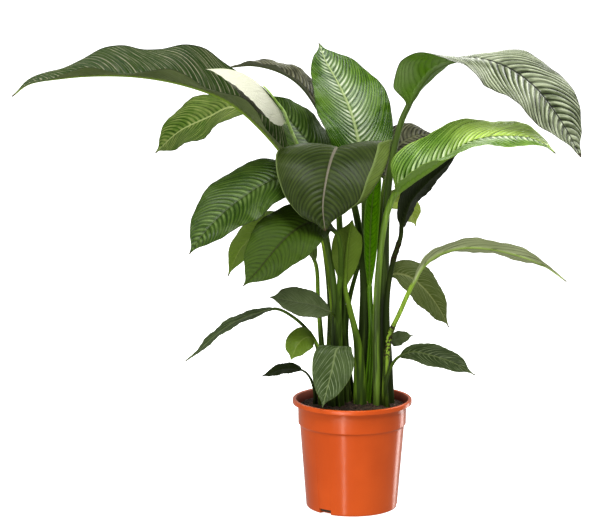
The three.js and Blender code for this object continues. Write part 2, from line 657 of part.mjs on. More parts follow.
// a round body along a route whose radius follows a list
function roundStem(stem) {
  const path = measuredPath(stem.route);
  const upright = { azimuth: SPATHE.azimuth, roll: [0] };
  const sections = [];
  for (let i = 0; i <= stem.rows; i += 1) {
    const share = i / stem.rows;
    const frame = leafFrame(path, upright, path.total * share, 0);
    const centre = path.pointAt(path.total * share);
    sections.push(roundRow(centre, frame, listAt(stem.radii, share), stem.columns));
  }
  return sheetGeometry(sections);
}

// ---- the object ---------------------------------------------------------

function addMesh(group, name, geometry, roughness) {
  const shaped = geometry.index ? geometry.toNonIndexed() : geometry;
  shaped.computeVertexNormals();
  const material = new THREE.MeshStandardMaterial({ color: COLOURS[name], roughness, metalness: 0 });
  const mesh = new THREE.Mesh(shaped, material);
  mesh.name = name;
  group.add(mesh);
}

// a round stem, as something that stands in the soil like a leaf
function standing(stem) {
  return {
    route: stem.route, bladeFrom: stem.route.length - 1, azimuth: SPATHE.azimuth, roll: [0],
    foot: stem.radii[0], neck: stem.radii[0],
  };
}

const rooted = [...LEAVES, standing(SCAPE), standing(SHOOT)];
const group = new THREE.Group();
addMesh(group, 'pot', fromManifold(potSolid()), ROUGHNESS.pot);
addMesh(group, 'soil', fromManifold(soilSolid(rooted)), ROUGHNESS.soil);
for (const leaf of LEAVES) addMesh(group, leaf.name, leafGeometry(leaf), ROUGHNESS.leaf);
addMesh(group, 'young_shoot', roundStem(SHOOT), ROUGHNESS.leaf);
addMesh(group, 'flower_stalk', roundStem(SCAPE), ROUGHNESS.flower);
addMesh(group, 'spathe', leafGeometry(SPATHE), ROUGHNESS.flower);
addMesh(group, 'spadix', roundStem(SPADIX), ROUGHNESS.flower);

export default group;
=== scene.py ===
import bpy
import numpy as np
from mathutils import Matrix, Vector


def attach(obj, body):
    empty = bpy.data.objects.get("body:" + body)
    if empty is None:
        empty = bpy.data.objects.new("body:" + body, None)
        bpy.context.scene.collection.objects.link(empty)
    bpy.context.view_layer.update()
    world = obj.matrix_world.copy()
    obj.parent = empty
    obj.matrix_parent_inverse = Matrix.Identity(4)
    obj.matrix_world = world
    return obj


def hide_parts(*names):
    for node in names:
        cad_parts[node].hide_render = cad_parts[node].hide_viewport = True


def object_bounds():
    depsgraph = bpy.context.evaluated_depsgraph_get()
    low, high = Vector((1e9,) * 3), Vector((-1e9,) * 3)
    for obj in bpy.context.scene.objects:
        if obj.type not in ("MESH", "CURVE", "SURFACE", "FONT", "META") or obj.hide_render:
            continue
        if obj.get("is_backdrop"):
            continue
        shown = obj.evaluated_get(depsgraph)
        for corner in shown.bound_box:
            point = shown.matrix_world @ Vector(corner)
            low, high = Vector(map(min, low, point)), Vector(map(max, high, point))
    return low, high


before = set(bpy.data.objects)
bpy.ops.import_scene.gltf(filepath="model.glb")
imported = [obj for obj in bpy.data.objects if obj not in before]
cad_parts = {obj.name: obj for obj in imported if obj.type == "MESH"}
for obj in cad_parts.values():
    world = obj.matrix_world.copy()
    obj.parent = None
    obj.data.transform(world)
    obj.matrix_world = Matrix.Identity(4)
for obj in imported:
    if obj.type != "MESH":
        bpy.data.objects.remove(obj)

cad_low, cad_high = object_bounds()

# ---- pot ----
# The pot is one moulded shell of glossy orange plastic: a round foot with three drain
# notches, a tapering wall, a small step, a straight band and a rim with a hanging lip.
# It stands for the CAD node pot and keeps its sizes, in millimetres here.
MM = 0.001
FLOOR_THICKNESS = 2.6
POT_CORNERS = [
    [0, 0], [69.8, 0], [70.2, 0], [80.5, 0], [92, 147.5], [95, 150.2], [95.5, 182],
    [100.2, 191.6], [102.4, 191.6], [103, 186], [105, 186], [105, 194], [99, 194],
    [93.5, 181], [92.9, 150], [90, 147.5], [78.6, FLOOR_THICKNESS], [70.4, FLOOR_THICKNESS],
    [69.9, FLOOR_THICKNESS], [0, FLOOR_THICKNESS],
]
POT_ROUNDING = [
    0.05, 0.05, 3.4, 1.6, 1.1, 6, 0.8, 0.4, 0.5, 0.7, 1.9, 1.6, 8, 1, 1.4, 3.4, 0.05, 0.05,
]
NOTCHES = 3
NOTCH_HALF_WIDTH = 12
NOTCH_HEIGHT = 9
NOTCH_FIRST_ANGLE = -127
NOTCH_INNER_RADIUS = 70
NOTCH_ARC_RADIUS = 78  # where its width is measured
POT_AROUND = 180
SHARP_EDGE_ANGLE = 40
INSIDE_SHADE_ROWS = 8  # over which the inside darkens


def rounded(corners, radii, steps):
    """An outline with its corners rounded: each inner corner gives way to a parabola from a
    point one radius before it to a point one radius after it."""
    corner = np.array(corners, float)
    middle = corner[1:-1]
    back = corner[:-2] - middle
    ahead = corner[2:] - middle
    reach = np.array(radii, float)[:, None]
    back_length = np.linalg.norm(back, axis=1)[:, None]
    ahead_length = np.linalg.norm(ahead, axis=1)[:, None]
    first = middle + back / back_length * np.minimum(reach, back_length / 2.05)
    last = middle + ahead / ahead_length * np.minimum(reach, ahead_length / 2.05)
    u = np.linspace(0, 1, steps)[:, None, None]
    curve = (1 - u) ** 2 * first + 2 * u * (1 - u) * middle + u**2 * last
    return np.vstack([corner[:1], curve.transpose(1, 0, 2).reshape(-1, 2), corner[-1:]])


def closed_loft(rings):
    """Faces of a closed skin over rings of points: a quad between neighbours on two rings, and
    a fan from the middle point of the first and of the last ring."""
    count, around = rings.shape[:2]
    i, k = np.meshgrid(np.arange(count - 1), np.arange(around), indexing="ij")
    k2 = (k + 1) % around
    quads = np.stack([i * around + k, i * around + k2, (i + 1) * around + k2], -1)
    quads = np.concatenate([quads, ((i + 1) * around + k)[..., None]], -1).reshape(-1, 4)
    points = np.vstack([rings.reshape(-1, 3), rings[0].mean(0), rings[-1].mean(0)])
    ring = np.arange(around)
    after = (ring + 1) % around
    foot = np.stack([np.full(around, count * around), after, ring], -1)
    end = (count - 1) * around
    head = np.stack([np.full(around, count * around + 1), end + ring, end + after], -1)
    return points, quads, np.vstack([foot, head])


def placed(name, data):
    """A new object in the scene, for a mesh, a lamp or the camera."""
    item = bpy.data.objects.new(name, data)
    bpy.context.scene.collection.objects.link(item)
    return item


def new_piece(name, node, slot, finish, points, quads, triangles):
    """A piece, in place of a CAD node if one is named, with its faces turned outwards: if the
    volume that they enclose comes out negative, every face is turned round."""
    fan = np.concatenate([triangles, quads[:, [0, 1, 2]], quads[:, [0, 2, 3]]])
    a, b, c = (points[fan[:, corner]] for corner in range(3))
    if np.einsum("ij,ij->i", a, np.cross(b, c)).sum() < 0:
        quads = quads[:, ::-1]
        triangles = triangles[:, ::-1]
    mesh = bpy.data.meshes.new(name)
    mesh.from_pydata((points * MM).tolist(), [], quads.tolist() + triangles.tolist())
    mesh.polygons.foreach_set("use_smooth", np.ones(len(mesh.polygons), bool))
    mesh.materials.append(finish)
    piece = placed(name, mesh)
    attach(piece, "root")
    if node:
        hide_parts(node)
    return piece


def shader(tree, kind, sockets=(), **settings):
    """A shader node with its settings; each socket takes a value or another node's output."""
    node = tree.nodes.new("ShaderNode" + kind)
    for key, value in settings.items():
        setattr(node, key, value)
    for key, value in dict(sockets).items():
        if isinstance(value, bpy.types.NodeSocket):
            tree.links.new(value, node.inputs[key])
        else:
            node.inputs[key].default_value = value
    return node


def new_finish(name, **sockets):
    """A material with one Principled shader; returns the material, its tree and the shader."""
    finish = bpy.data.materials.new(name)
    finish.use_nodes = True
    surface = finish.node_tree.nodes["Principled BSDF"]
    for key, value in sockets.items():
        surface.inputs[key.replace("_", " ")].default_value = value
    return finish, finish.node_tree, surface


def blotches(tree, scale, detail=2, stretch=(1, 1, 1), place=None):
    """Soft noise from 0 to 1 over the piece's own Object coordinates or another place."""
    place = place or shader(tree, "TexCoord").outputs["Object"]
    turned_place = shader(tree, "Mapping", {"Vector": place, "Scale": stretch})
    sockets = {"Vector": turned_place.outputs["Vector"], "Scale": scale, "Detail": detail}
    return shader(tree, "TexNoise", sockets).outputs["Fac"]


def between(tree, value, low, high, first=0, last=1):
    """Smooth step of a value: first below low, last above high."""
    sockets = {"Value": value, "From Min": low, "From Max": high, "To Min": first, "To Max": last}
    step = shader(tree, "MapRange", sockets, interpolation_type="SMOOTHSTEP")
    return step.outputs["Result"]


def tinted(tree, share, first, second):
    """A colour between two colours, or between two other outputs, by a share."""
    first, second = (end if isinstance(end, bpy.types.NodeSocket) else (*end, 1)
                     for end in (first, second))
    sockets = {0: share, 6: first, 7: second}
    return shader(tree, "Mix", sockets, data_type="RGBA").outputs[2]


def counted(tree, operation, *values):
    """One arithmetic step on values or outputs."""
    return shader(tree, "Math", enumerate(values), operation=operation).outputs["Value"]


def times(tree, first, second):
    """The product of two values or outputs."""
    return counted(tree, "MULTIPLY", first, second)


def coat(tree, surface, colour, relief, strength, depth):
    """Gives the shader its colour, and a relief as a bump with its depth in metres."""
    tree.links.new(colour, surface.inputs["Base Color"])
    bump = shader(tree, "Bump", {"Height": relief, "Strength": strength, "Distance": depth})
    tree.links.new(bump.outputs["Normal"], surface.inputs["Normal"])


plastic, tree, surface = new_finish("orange moulded plastic", Specular_IOR_Level=0.35)
cloud = blotches(tree, 9, 3)
scuff = blotches(tree, 140, 4, (1, 1, 0.25))
colour = tinted(tree, between(tree, cloud, 0.3, 0.7), (0.49, 0.086, 0.01), (0.56, 0.106, 0.014))
dusty = tinted(tree, between(tree, scuff, 0.62, 0.8, 0, 0.08), colour, (0.56, 0.12, 0.03))
# Painted shade: from just below the rim, the inside of the wall is darkened to a deep red, standing in
# for the shadow that falls inside the pot.
inner = shader(tree, "Attribute", attribute_name="inner").outputs["Fac"]
shaded_inside = tinted(tree, between(tree, inner, 0.2, 1, 0, 0.85), dusty, (0.11, 0.013, 0.003))
worn = between(tree, scuff, 0.3, 0.75, 0.2, 0.25)
dull = counted(tree, "MULTIPLY_ADD", inner, 0.4, worn)
tree.links.new(dull, surface.inputs["Roughness"])
coat(tree, surface, shaded_inside, scuff, strength=0.04, depth=0.0006)

outline = rounded(POT_CORNERS, POT_ROUNDING, 5)
rise = np.linalg.norm(np.diff(outline, axis=0), axis=1)
outline = outline[np.concatenate([[True], rise > 1e-6])][1:-1]
notch = np.radians(NOTCH_FIRST_ANGLE + 360 / NOTCHES * np.arange(NOTCHES))
notch_half = NOTCH_HALF_WIDTH / NOTCH_ARC_RADIUS
edges = notch[:, None] + notch_half * np.array([-1.004, -1, 1, 1.004])
turn = np.concatenate([np.linspace(-np.pi, np.pi, POT_AROUND, endpoint=False), edges.ravel()])
turn = np.sort((turn + np.pi) % (2 * np.pi) - np.pi)
off_notch = np.abs((turn[:, None] - notch + np.pi) % (2 * np.pi) - np.pi).min(1)
radius, height = outline[:, :1], outline[:, 1:]
outside = np.arange(len(outline))[:, None] < np.argmax(height)
in_notch = (off_notch <= notch_half * 1.001) & (radius >= NOTCH_INNER_RADIUS)
lowest = np.where(outside, NOTCH_HEIGHT, NOTCH_HEIGHT + FLOOR_THICKNESS)
lifted = np.where(in_notch, np.maximum(height, lowest), height)
pot_rings = np.stack([radius * np.cos(turn), radius * np.sin(turn), lifted], -1)
pot = new_piece("pot_shell", "pot", "pot", plastic, *closed_loft(pot_rings))
pot.data.set_sharp_from_angle(angle=np.radians(SHARP_EDGE_ANGLE))
inner_share = np.clip((np.arange(len(outline)) - np.argmax(height)) / INSIDE_SHADE_ROWS, 0, 1)
inner = pot.data.attributes.new("inner", "FLOAT", "POINT")
inner.data.foreach_set("value", np.append(np.repeat(inner_share, len(turn)), [0, 1]))

# ---- soil ----
# The soil is dark peat with bark chips, heaped slightly to the middle, where the stalks
# rise out of it. Its top is worked by noise, and the chips are small blocks bedded in it.
SOIL_RADIUS = 93
SOIL_OUTLINE = [[74, 2.7], [78, 6.2], [89.5, 147.8], [92.4, 150.3], [SOIL_RADIUS, 180]]
SOIL_CROWN = [[0, 34, 62, 84, SOIL_RADIUS], [185, 184.6, 183.2, 181.2, 180]]
SOIL_AROUND = 260
TOP_RINGS = (92.6, 0.8, 74)  # first and last radius, and how many
CRUMBS = [[3.2, 13], [2.6, 5], [1.6, 2.3]]  # height and cell of each size
CRUMB_LEVEL = 3.4
WALL_FADE = 6
LATTICE = 64
CHIPS = 620
CHIP_REACH = 89
CHIP_LENGTH = (1.6, 5.5)  # the least, and what the longest has more
CHIP_SHAPE = [0.5, 0.3, 0.16]
CHIP_TURNS = [[2 * np.pi], [0.9], [0.9]]


def lattice(x, y, cell, seed):
    """Heights from 0 to 1: random values on a square lattice, joined by smooth steps."""
    table = np.random.default_rng(seed).random((LATTICE, LATTICE))
    i = np.floor(x / cell).astype(int)
    j = np.floor(y / cell).astype(int)
    f = x / cell - i
    g = y / cell - j
    f = f * f * (3 - 2 * f)
    g = g * g * (3 - 2 * g)
    i, i2, j, j2 = (step % LATTICE for step in (i, i + 1, j, j + 1))
    near = table[i, j] * (1 - g) + table[i, j2] * g
    far = table[i2, j] * (1 - g) + table[i2, j2] * g
    return near * (1 - f) + far * f


def soil_height(x, y):
    """The crown's height at a place plus three sizes of crumbs, which fade out at the wall."""
    radius = np.hypot(x, y)
    crumbs = sum(size * lattice(x, y, cell, 1 + k) for k, (size, cell) in enumerate(CRUMBS))
    fade = np.clip((SOIL_RADIUS - radius) / WALL_FADE, 0, 1)
    return np.interp(radius, *SOIL_CROWN) + (crumbs - CRUMB_LEVEL) * fade


def turned(a, b, angle):
    """Two coordinates of each chip's corners turned by the chip's own angle."""
    cosine, sine = np.cos(angle)[:, None], np.sin(angle)[:, None]
    return a * cosine - b * sine, a * sine + b * cosine


peat, tree, surface = new_finish("dark peat", Roughness=0.95)
grit = blotches(tree, 420, 5)
damp = blotches(tree, 45, 3)
wet_peat, dry_peat = (0.034, 0.022, 0.014), (0.08, 0.052, 0.03)
brown = tinted(tree, between(tree, damp, 0.35, 0.65), wet_peat, dry_peat)
speck = tinted(tree, between(tree, grit, 0.55, 0.72), brown, (0.12, 0.075, 0.05))
coat(tree, surface, speck, grit, strength=0.8, depth=0.0012)

turn = np.linspace(-np.pi, np.pi, SOIL_AROUND, endpoint=False)
radius = np.linspace(*TOP_RINGS)[:, None]
x, y = radius * np.cos(turn), radius * np.sin(turn)
top_rings = np.stack([x, y, soil_height(x, y)], -1)
wall = np.array(SOIL_OUTLINE)
wall_x, wall_y = wall[:, :1] * np.cos(turn), wall[:, :1] * np.sin(turn)
wall_rings = np.stack([wall_x, wall_y, wall[:, 1:] + 0 * wall_x], -1)
new_piece("soil_bed", "soil", "soil", peat, *closed_loft(np.concatenate([wall_rings, top_rings])))

bark, tree, surface = new_finish("bark chips", Roughness=0.85)
tint = shader(tree, "Attribute", attribute_name="tint").outputs["Fac"]
flecks = blotches(tree, 600, 3)
dark_bark, red_bark = (0.045, 0.025, 0.019), (0.13, 0.07, 0.055)
dark = tinted(tree, between(tree, tint, 0.2, 0.7), dark_bark, red_bark)
light = tinted(tree, between(tree, tint, 0.86, 0.99), dark, (0.30, 0.19, 0.13))
worn = tinted(tree, between(tree, flecks, 0.4, 0.7, 0, 0.35), light, (0.12, 0.075, 0.05))
coat(tree, surface, worn, flecks, strength=0.5, depth=0.0006)

draw = np.random.default_rng(4)
away = CHIP_REACH * np.sqrt(draw.random(CHIPS))
way = 2 * np.pi * draw.random(CHIPS)
chip_x, chip_y = away * np.cos(way), away * np.sin(way)
length = CHIP_LENGTH[0] + CHIP_LENGTH[1] * draw.random(CHIPS) ** 2
sizes = length[:, None] * np.array(CHIP_SHAPE) * (0.7 + 0.6 * draw.random((CHIPS, 3)))
signs = 2 * np.indices((2, 2, 2)).reshape(3, 8).T - 1
corner = signs * sizes[:, None, :] * (0.65 + 0.35 * draw.random((CHIPS, 8, 3)))
yaw, pitch, tilt = np.array(CHIP_TURNS) * (draw.random((3, CHIPS)) - 0.5)
bx, by, bz = corner[..., 0], corner[..., 1], corner[..., 2]
by, bz = turned(by, bz, tilt)
bx, bz = turned(bx, bz, pitch)
bx, by = turned(bx, by, yaw)
seat = soil_height(chip_x, chip_y) + 0.1 * length
corner = np.stack([bx + chip_x[:, None], by + chip_y[:, None], bz + seat[:, None]], -1)
sides = np.array([[0, 1, 3, 2], [4, 6, 7, 5], [0, 4, 5, 1], [2, 3, 7, 6], [0, 2, 6, 4], [1, 5, 7, 3]])
chip_faces = (np.arange(CHIPS)[:, None, None] * 8 + sides).reshape(-1, 4)
no_triangles = np.zeros((0, 3), int)
chips = new_piece("soil_chips", None, "soil", bark, corner.reshape(-1, 3), chip_faces, no_triangles)
chips.data.polygons.foreach_set("use_smooth", np.zeros(len(chip_faces), bool))
tint = chips.data.attributes.new("tint", "FLOAT", "POINT")
tint.data.foreach_set("value", np.repeat(draw.random(CHIPS), 8))

# ---- tall leaves ----
# Each leaf is one grown piece: a stalk with a channelled sheath at its foot, a midrib and
# a thin blade pleated along its side veins. These are the tall ones, at the top and the
# back. Lengths are in millimetres and angles in degrees.
BLADE_THICKNESS = 0.7
TIP_HALF_WIDTH = 0.9
TIP_RIB_RADIUS = 0.7
ROW_GAP = 1.9
STALK_ROW_GAP = 7
LAMP_GAIN = 1.35
RIGHT_WAVE_SHIFT = 0.37
FINE_WAVES = 13
TURNED_OVER = 172
STRIP_WIDTH = 3.6
STRIPS = (11, 42)  # the fewest and the most on one half
RIB_STRIPS = 3
EDGE_STRIP = 0.9
SECTION_PARTS = 40
ROUTE_STEPS = 2400
DIRECTION_REACH = 4
DRY_TIP = (70, 55, 25)
FRAYED_EDGE = (52, 38, 22)


def curve_through(points, steps):
    """Centripetal Catmull-Rom curve: on each stretch a cubic, whose slopes at its ends come
    from the neighbouring points, weighted by the square roots of their distances. Gives its
    points, their places in the list, and the length gone at each."""
    p = np.array(points, float)
    place = np.linspace(0, len(p) - 1, steps + 1)
    i = np.minimum(place.astype(int), len(p) - 2)
    f = (place - i)[:, None]
    q = np.vstack([2 * p[0] - p[1], p, 2 * p[-1] - p[-2]])
    a, b, c, d = q[i], q[i + 1], q[i + 2], q[i + 3]
    ab, bc, cd = (np.sqrt(np.linalg.norm(v, axis=1))[:, None] for v in (b - a, c - b, d - c))
    first = ((b - a) / ab - (c - a) / (ab + bc) + (c - b) / bc) * bc
    last = ((c - b) / bc - (d - b) / (bc + cd) + (d - c) / cd) * bc
    curve = b + first * f + (3 * (c - b) - 2 * first - last) * f**2
    curve = curve + (2 * (b - c) + first + last) * f**3
    stretches = np.linalg.norm(np.diff(curve, axis=0), axis=1)
    return curve, place, np.concatenate([[0], np.cumsum(stretches)])


def unit(vectors):
    """Vectors brought to length 1."""
    return vectors / np.linalg.norm(vectors, axis=-1, keepdims=True)


def ease(value):
    """Smooth step: 0 up to 0, 1 from 1, and 3v^2 - 2v^3 between."""
    share = np.clip(value, 0, 1)
    return share * share * (3 - 2 * share)


def spread(values, t):
    """The value at t of a list that is spaced evenly from 0 to 1, or of one number."""
    return np.interp(t, np.linspace(0, 1, np.size(values)), np.ravel(values))


def directions(line, gone, along, t, azimuth, roll):
    """Points of a route at lengths along it, with the left and upper directions there: left is
    level and square to the bearing, then made square to the route, and both turn by the roll."""
    at = [np.stack([np.interp(s, gone, line[:, k]) for k in range(3)], -1)
          for s in (along, np.minimum(along + DIRECTION_REACH, gone[-1]),
                    np.maximum(along - DIRECTION_REACH, 0))]
    ahead = unit(at[1] - at[2])
    bearing = np.radians(azimuth)
    level = np.array([-np.sin(bearing), np.cos(bearing), 0])
    left = unit(level - ahead * (ahead @ level)[:, None])
    up = np.cross(ahead, left)
    turn = np.radians(spread(roll, t))[:, None]
    rolled_left = np.cos(turn) * left + np.sin(turn) * up
    return at[0], rolled_left, np.cos(turn) * up - np.sin(turn) * left


def moved(base, left, up, sideways, upwards):
    """Points shifted by amounts along their left and upper directions."""
    return base + sideways[..., None] * left + upwards[..., None] * up


def leaf_rows(route, blade_from, azimuth, roll):
    """The rows of a leaf along its route: even ones on the stalk, up to the route's point number
    blade_from, then those of the blade, halfway between an even and a cosine spacing. Each has
    its share t of the blade, its share of the stalk, its length, its place and its directions."""
    line, place, gone = curve_through(route, ROUTE_STEPS)
    start = np.interp(blade_from, place, gone)
    blade_length = gone[-1] - start
    even = np.linspace(0, 1, int(blade_length / ROW_GAP) + 1)
    stalk_rows = int(start / STALK_ROW_GAP)
    blade_t = (even + (1 - np.cos(np.pi * even)) / 2) / 2
    t = np.concatenate([np.zeros(stalk_rows), blade_t])
    climb = np.concatenate([np.arange(stalk_rows) / max(stalk_rows, 1), np.ones(len(even))])
    along = start * climb + blade_length * t
    rows = (t, climb, along, *directions(line, gone, along, t, azimuth, roll))
    return blade_length, [values[:, None] for values in rows]


def blade_strips(t, width, widest, sharpness, neck):
    """Half-width and midrib radius of each row, the midrib's share of the half-width, and the
    shares h at which the strips of one half meet: some on the midrib, even ones beside it and
    a narrow one at the margin. The half-width is (t^p)(1-t)^q, drawn in at the tip."""
    power = sharpness * widest / (1 - widest)
    peak = widest**power * (1 - widest) ** sharpness
    drawn_out = 1 - 0.5 * ease((t - 0.8) / 0.13) * min(1, 60 / width)
    drawn_out = drawn_out - 0.4 * ease((t - 0.9) / 0.07) * min(1, width / 120)
    half = width / 2 * t**power * (1 - t) ** sharpness / peak * drawn_out
    half = np.maximum(half, TIP_HALF_WIDTH)
    rib = TIP_RIB_RADIUS + (0.9 * neck - TIP_RIB_RADIUS) * (1 - t) ** 0.8
    rib_share = np.minimum(rib / half, 0.3)
    last = int(np.clip(width / STRIP_WIDTH, *STRIPS))
    k = np.arange(last + 1)
    margin = 1 - np.minimum(EDGE_STRIP / half, 0.2)
    share = rib_share + (margin - rib_share) * (k - RIB_STRIPS) / (last - RIB_STRIPS - 1)
    h = np.where(k <= RIB_STRIPS, rib_share * k / RIB_STRIPS, np.where(k == last, 1, share))
    return half, rib, rib_share, h


def leaf_blade(blade_length, rows, strips, pleat, fold=8, fold_right=None, curl=-10,
               wave=(2, 3, 0), vein_gap=9, lean=(0.42, 0.95), turned_in=0):
    """Upper and lower points from margin to margin, with their vein number, their h and their
    reach over the midrib's radius. The section's angle is fold + curl h^1.5, waves grow with
    h^2, and an extra share of the left half may be turned in over the blade. Pleats are |sin|
    of the vein number, which counts along the midrib and leans forwards with h. The right
    half folds as the left does unless it has its own fold, and two curls are for left and
    right."""
    t, _, _, centre, left, up = rows
    half, rib, rib_share, h = strips
    parts = (np.arange(SECTION_PARTS) + 0.5) / SECTION_PARTS
    envelope = np.maximum(np.sin(np.pi * t), 0) ** 0.7
    folds = (fold, fold if fold_right is None else fold_right)
    halves = []
    for side, own_fold, bend in zip((1, -1), folds, np.radians(np.broadcast_to(curl, 2))):
        tilt = np.radians(spread(own_fold, t))
        wider = (side > 0) * turned_in * ease((t - 0.38) / 0.1) * ease((1 - t) / 0.35)
        reach = h * half * (1 + wider)
        over = np.radians(TURNED_OVER) * ease(wider / 0.08)

        def section_angle(inwards):
            past_fold = ease((inwards * (1 + wider[..., None]) - 0.95) / 0.1)
            return tilt[..., None] + bend * inwards**1.5 + over[..., None] * past_fold

        inner = section_angle(h[..., None] * parts)
        out = reach * np.cos(inner).mean(-1)
        rise = reach * np.sin(inner).mean(-1)
        slope = section_angle(h[..., None])[..., 0]
        shift = wave[2] + (0 if side > 0 else RIGHT_WAVE_SHIFT)
        swing = wave[0] * h**2 * np.sin(2 * np.pi * (wave[1] * t + shift)) * envelope
        swing = swing + 0.5 * h**3 * np.sin(2 * np.pi * (FINE_WAVES * t + 2 * shift)) * envelope
        vein = (blade_length * t - reach * (lean[0] + lean[1] * h**1.5)) / vein_gap
        fade = ease(h / (2.2 * rib_share)) * ease((1 - h) / 0.14) * np.minimum(half / 30, 1)
        puff = pleat * (np.abs(np.sin(np.pi * vein)) - 0.6) * fade / (1 + 1.2 * h**1.5)
        channel = 0.35 * rib * (1 - ease(reach / (1.5 * rib))) * ease(t / 0.08)
        above = moved(centre, left, up, side * out, rise + swing + puff - channel)
        thin = BLADE_THICKNESS * (1 - 0.5 * ease((h - 0.93) / 0.07))
        depth = thin + 1.5 * rib * np.sqrt(np.maximum(1 - (reach / rib) ** 2, 0)) - channel
        inward = np.maximum(depth * np.sin(slope), -0.5 * out)
        below = moved(above, left, up, side * inward, -depth * np.cos(slope))
        halves.append((above, below, vein, h + 0 * t, reach / rib))
    return [np.concatenate([a[:, ::-1], b[:, 1:]], axis=1) for a, b in zip(*halves)]


def leaf_stalk(rows, points, foot, neck, ragged):
    """Upper and lower points of a round stalk that slims as (1-x)^1.3. Low down it is widened
    into a sheath, with a channel between two wings, and over the shares of its length that
    ragged gives its edge frays. Gives the angle round it and the share of fraying as well."""
    t, climb, along, centre, left, up = rows
    angle = np.pi * (np.arange(points) + 0.5) / points
    worn = lattice(30 * np.cos(angle) + 0 * climb, along + 0 * angle, 5, 5) - 0.3
    rag = ease((climb - ragged[0]) / 0.02) * ease((ragged[1] - climb) / 0.02) * (t == 0)
    girth = (neck + (foot - neck) * (1 - climb) ** 1.3) * (1 + 0.5 * rag * np.maximum(worn, 0))
    from_top = np.abs(angle - np.pi / 2)
    wings = 0.3 * np.exp(-(((from_top - 0.8) / 0.2) ** 2))
    groove = ease((0.82 - climb) / 0.4) * ease(climb / 0.04)
    hollow = groove * (0.95 * np.exp(-((from_top / 0.42) ** 2)) - wings)
    sheath = 1 + 0.4 * ease(climb / 0.05) * ease((0.75 - climb) / 0.5)
    across = sheath * girth * np.cos(angle)
    rise = girth * np.sin(angle)
    above = moved(centre, left, up, across, rise * (1 - hollow))
    return above, moved(centre, left, up, across, -rise), angle, rag


def grown_leaf(name, finish, route, width, azimuth, foot, neck, pleat, slot="leaf_dark",
               blade_from=3, widest=0.45, sharpness=0.8, roll=0, ragged=(2, 3), **section):
    """A leaf as one closed skin of rings, each of an upper row and a lower row of points: its
    stalk flattens into its blade by a smooth step. section holds what leaf_blade takes."""
    blade_length, rows = leaf_rows(route, blade_from, azimuth, roll)
    t, climb = rows[:2]
    strips = blade_strips(t, width, widest, sharpness, neck)
    blade = leaf_blade(blade_length, rows, strips, pleat, **section)
    blade_above, blade_below, vein, h, from_rib = blade
    stalk = leaf_stalk(rows, h.shape[1], foot, neck, ragged)
    stalk_above, stalk_below, angle, rag = stalk
    flat = ease(t / 0.07)
    above = stalk_above + flat[..., None] * (blade_above - stalk_above)
    below = stalk_below + flat[..., None] * (blade_below - stalk_below)
    rings = np.concatenate([above, below[:, ::-1]], axis=1)
    piece = new_piece(name + "_grown", name, slot, finish, *closed_loft(rings))
    upper = np.concatenate([np.ones(h.shape), np.zeros(h.shape)], axis=1)
    both_sides = [np.concatenate([a, a[:, ::-1]], axis=1) for a in (vein, h, from_rib)]
    vein, h, from_rib = both_sides
    turn = np.concatenate([angle, -angle[::-1]])
    whole = np.zeros(h.shape)
    record_on(piece, "vein", (vein, h, t + whole))
    record_on(piece, "part", (upper, flat + whole, np.minimum(from_rib, 30)))
    record_on(piece, "stalk", (climb + whole, turn + whole, rag + whole))


def record_on(piece, name, values):
    """Three values for each point, kept as an attribute that the finish reads; the two end
    points repeat those of the first and last ring."""
    rows = np.stack(values, -1)
    every = np.vstack([rows.reshape(-1, 3), rows[0, 0], rows[-1, 0]])
    attribute = piece.data.attributes.new(name, "FLOAT_VECTOR", "POINT")
    attribute.data.foreach_set("vector", every.astype(np.float32).ravel())


def recorded(tree, name):
    """The three values of such an attribute, as a finish reads them."""
    kept = shader(tree, "Attribute", attribute_name=name).outputs["Vector"]
    return shader(tree, "SeparateXYZ", {"Vector": kept}).outputs


def paint(red, green, blue):
    """A screen colour of 0 to 255 as the colour of a surface in the studio's light:
    ((c/255 + 0.055) / 1.055)^2.4, over the gain of the lamps."""
    return tuple(((np.array([red, green, blue]) / 255 + 0.055) / 1.055) ** 2.4 / LAMP_GAIN)


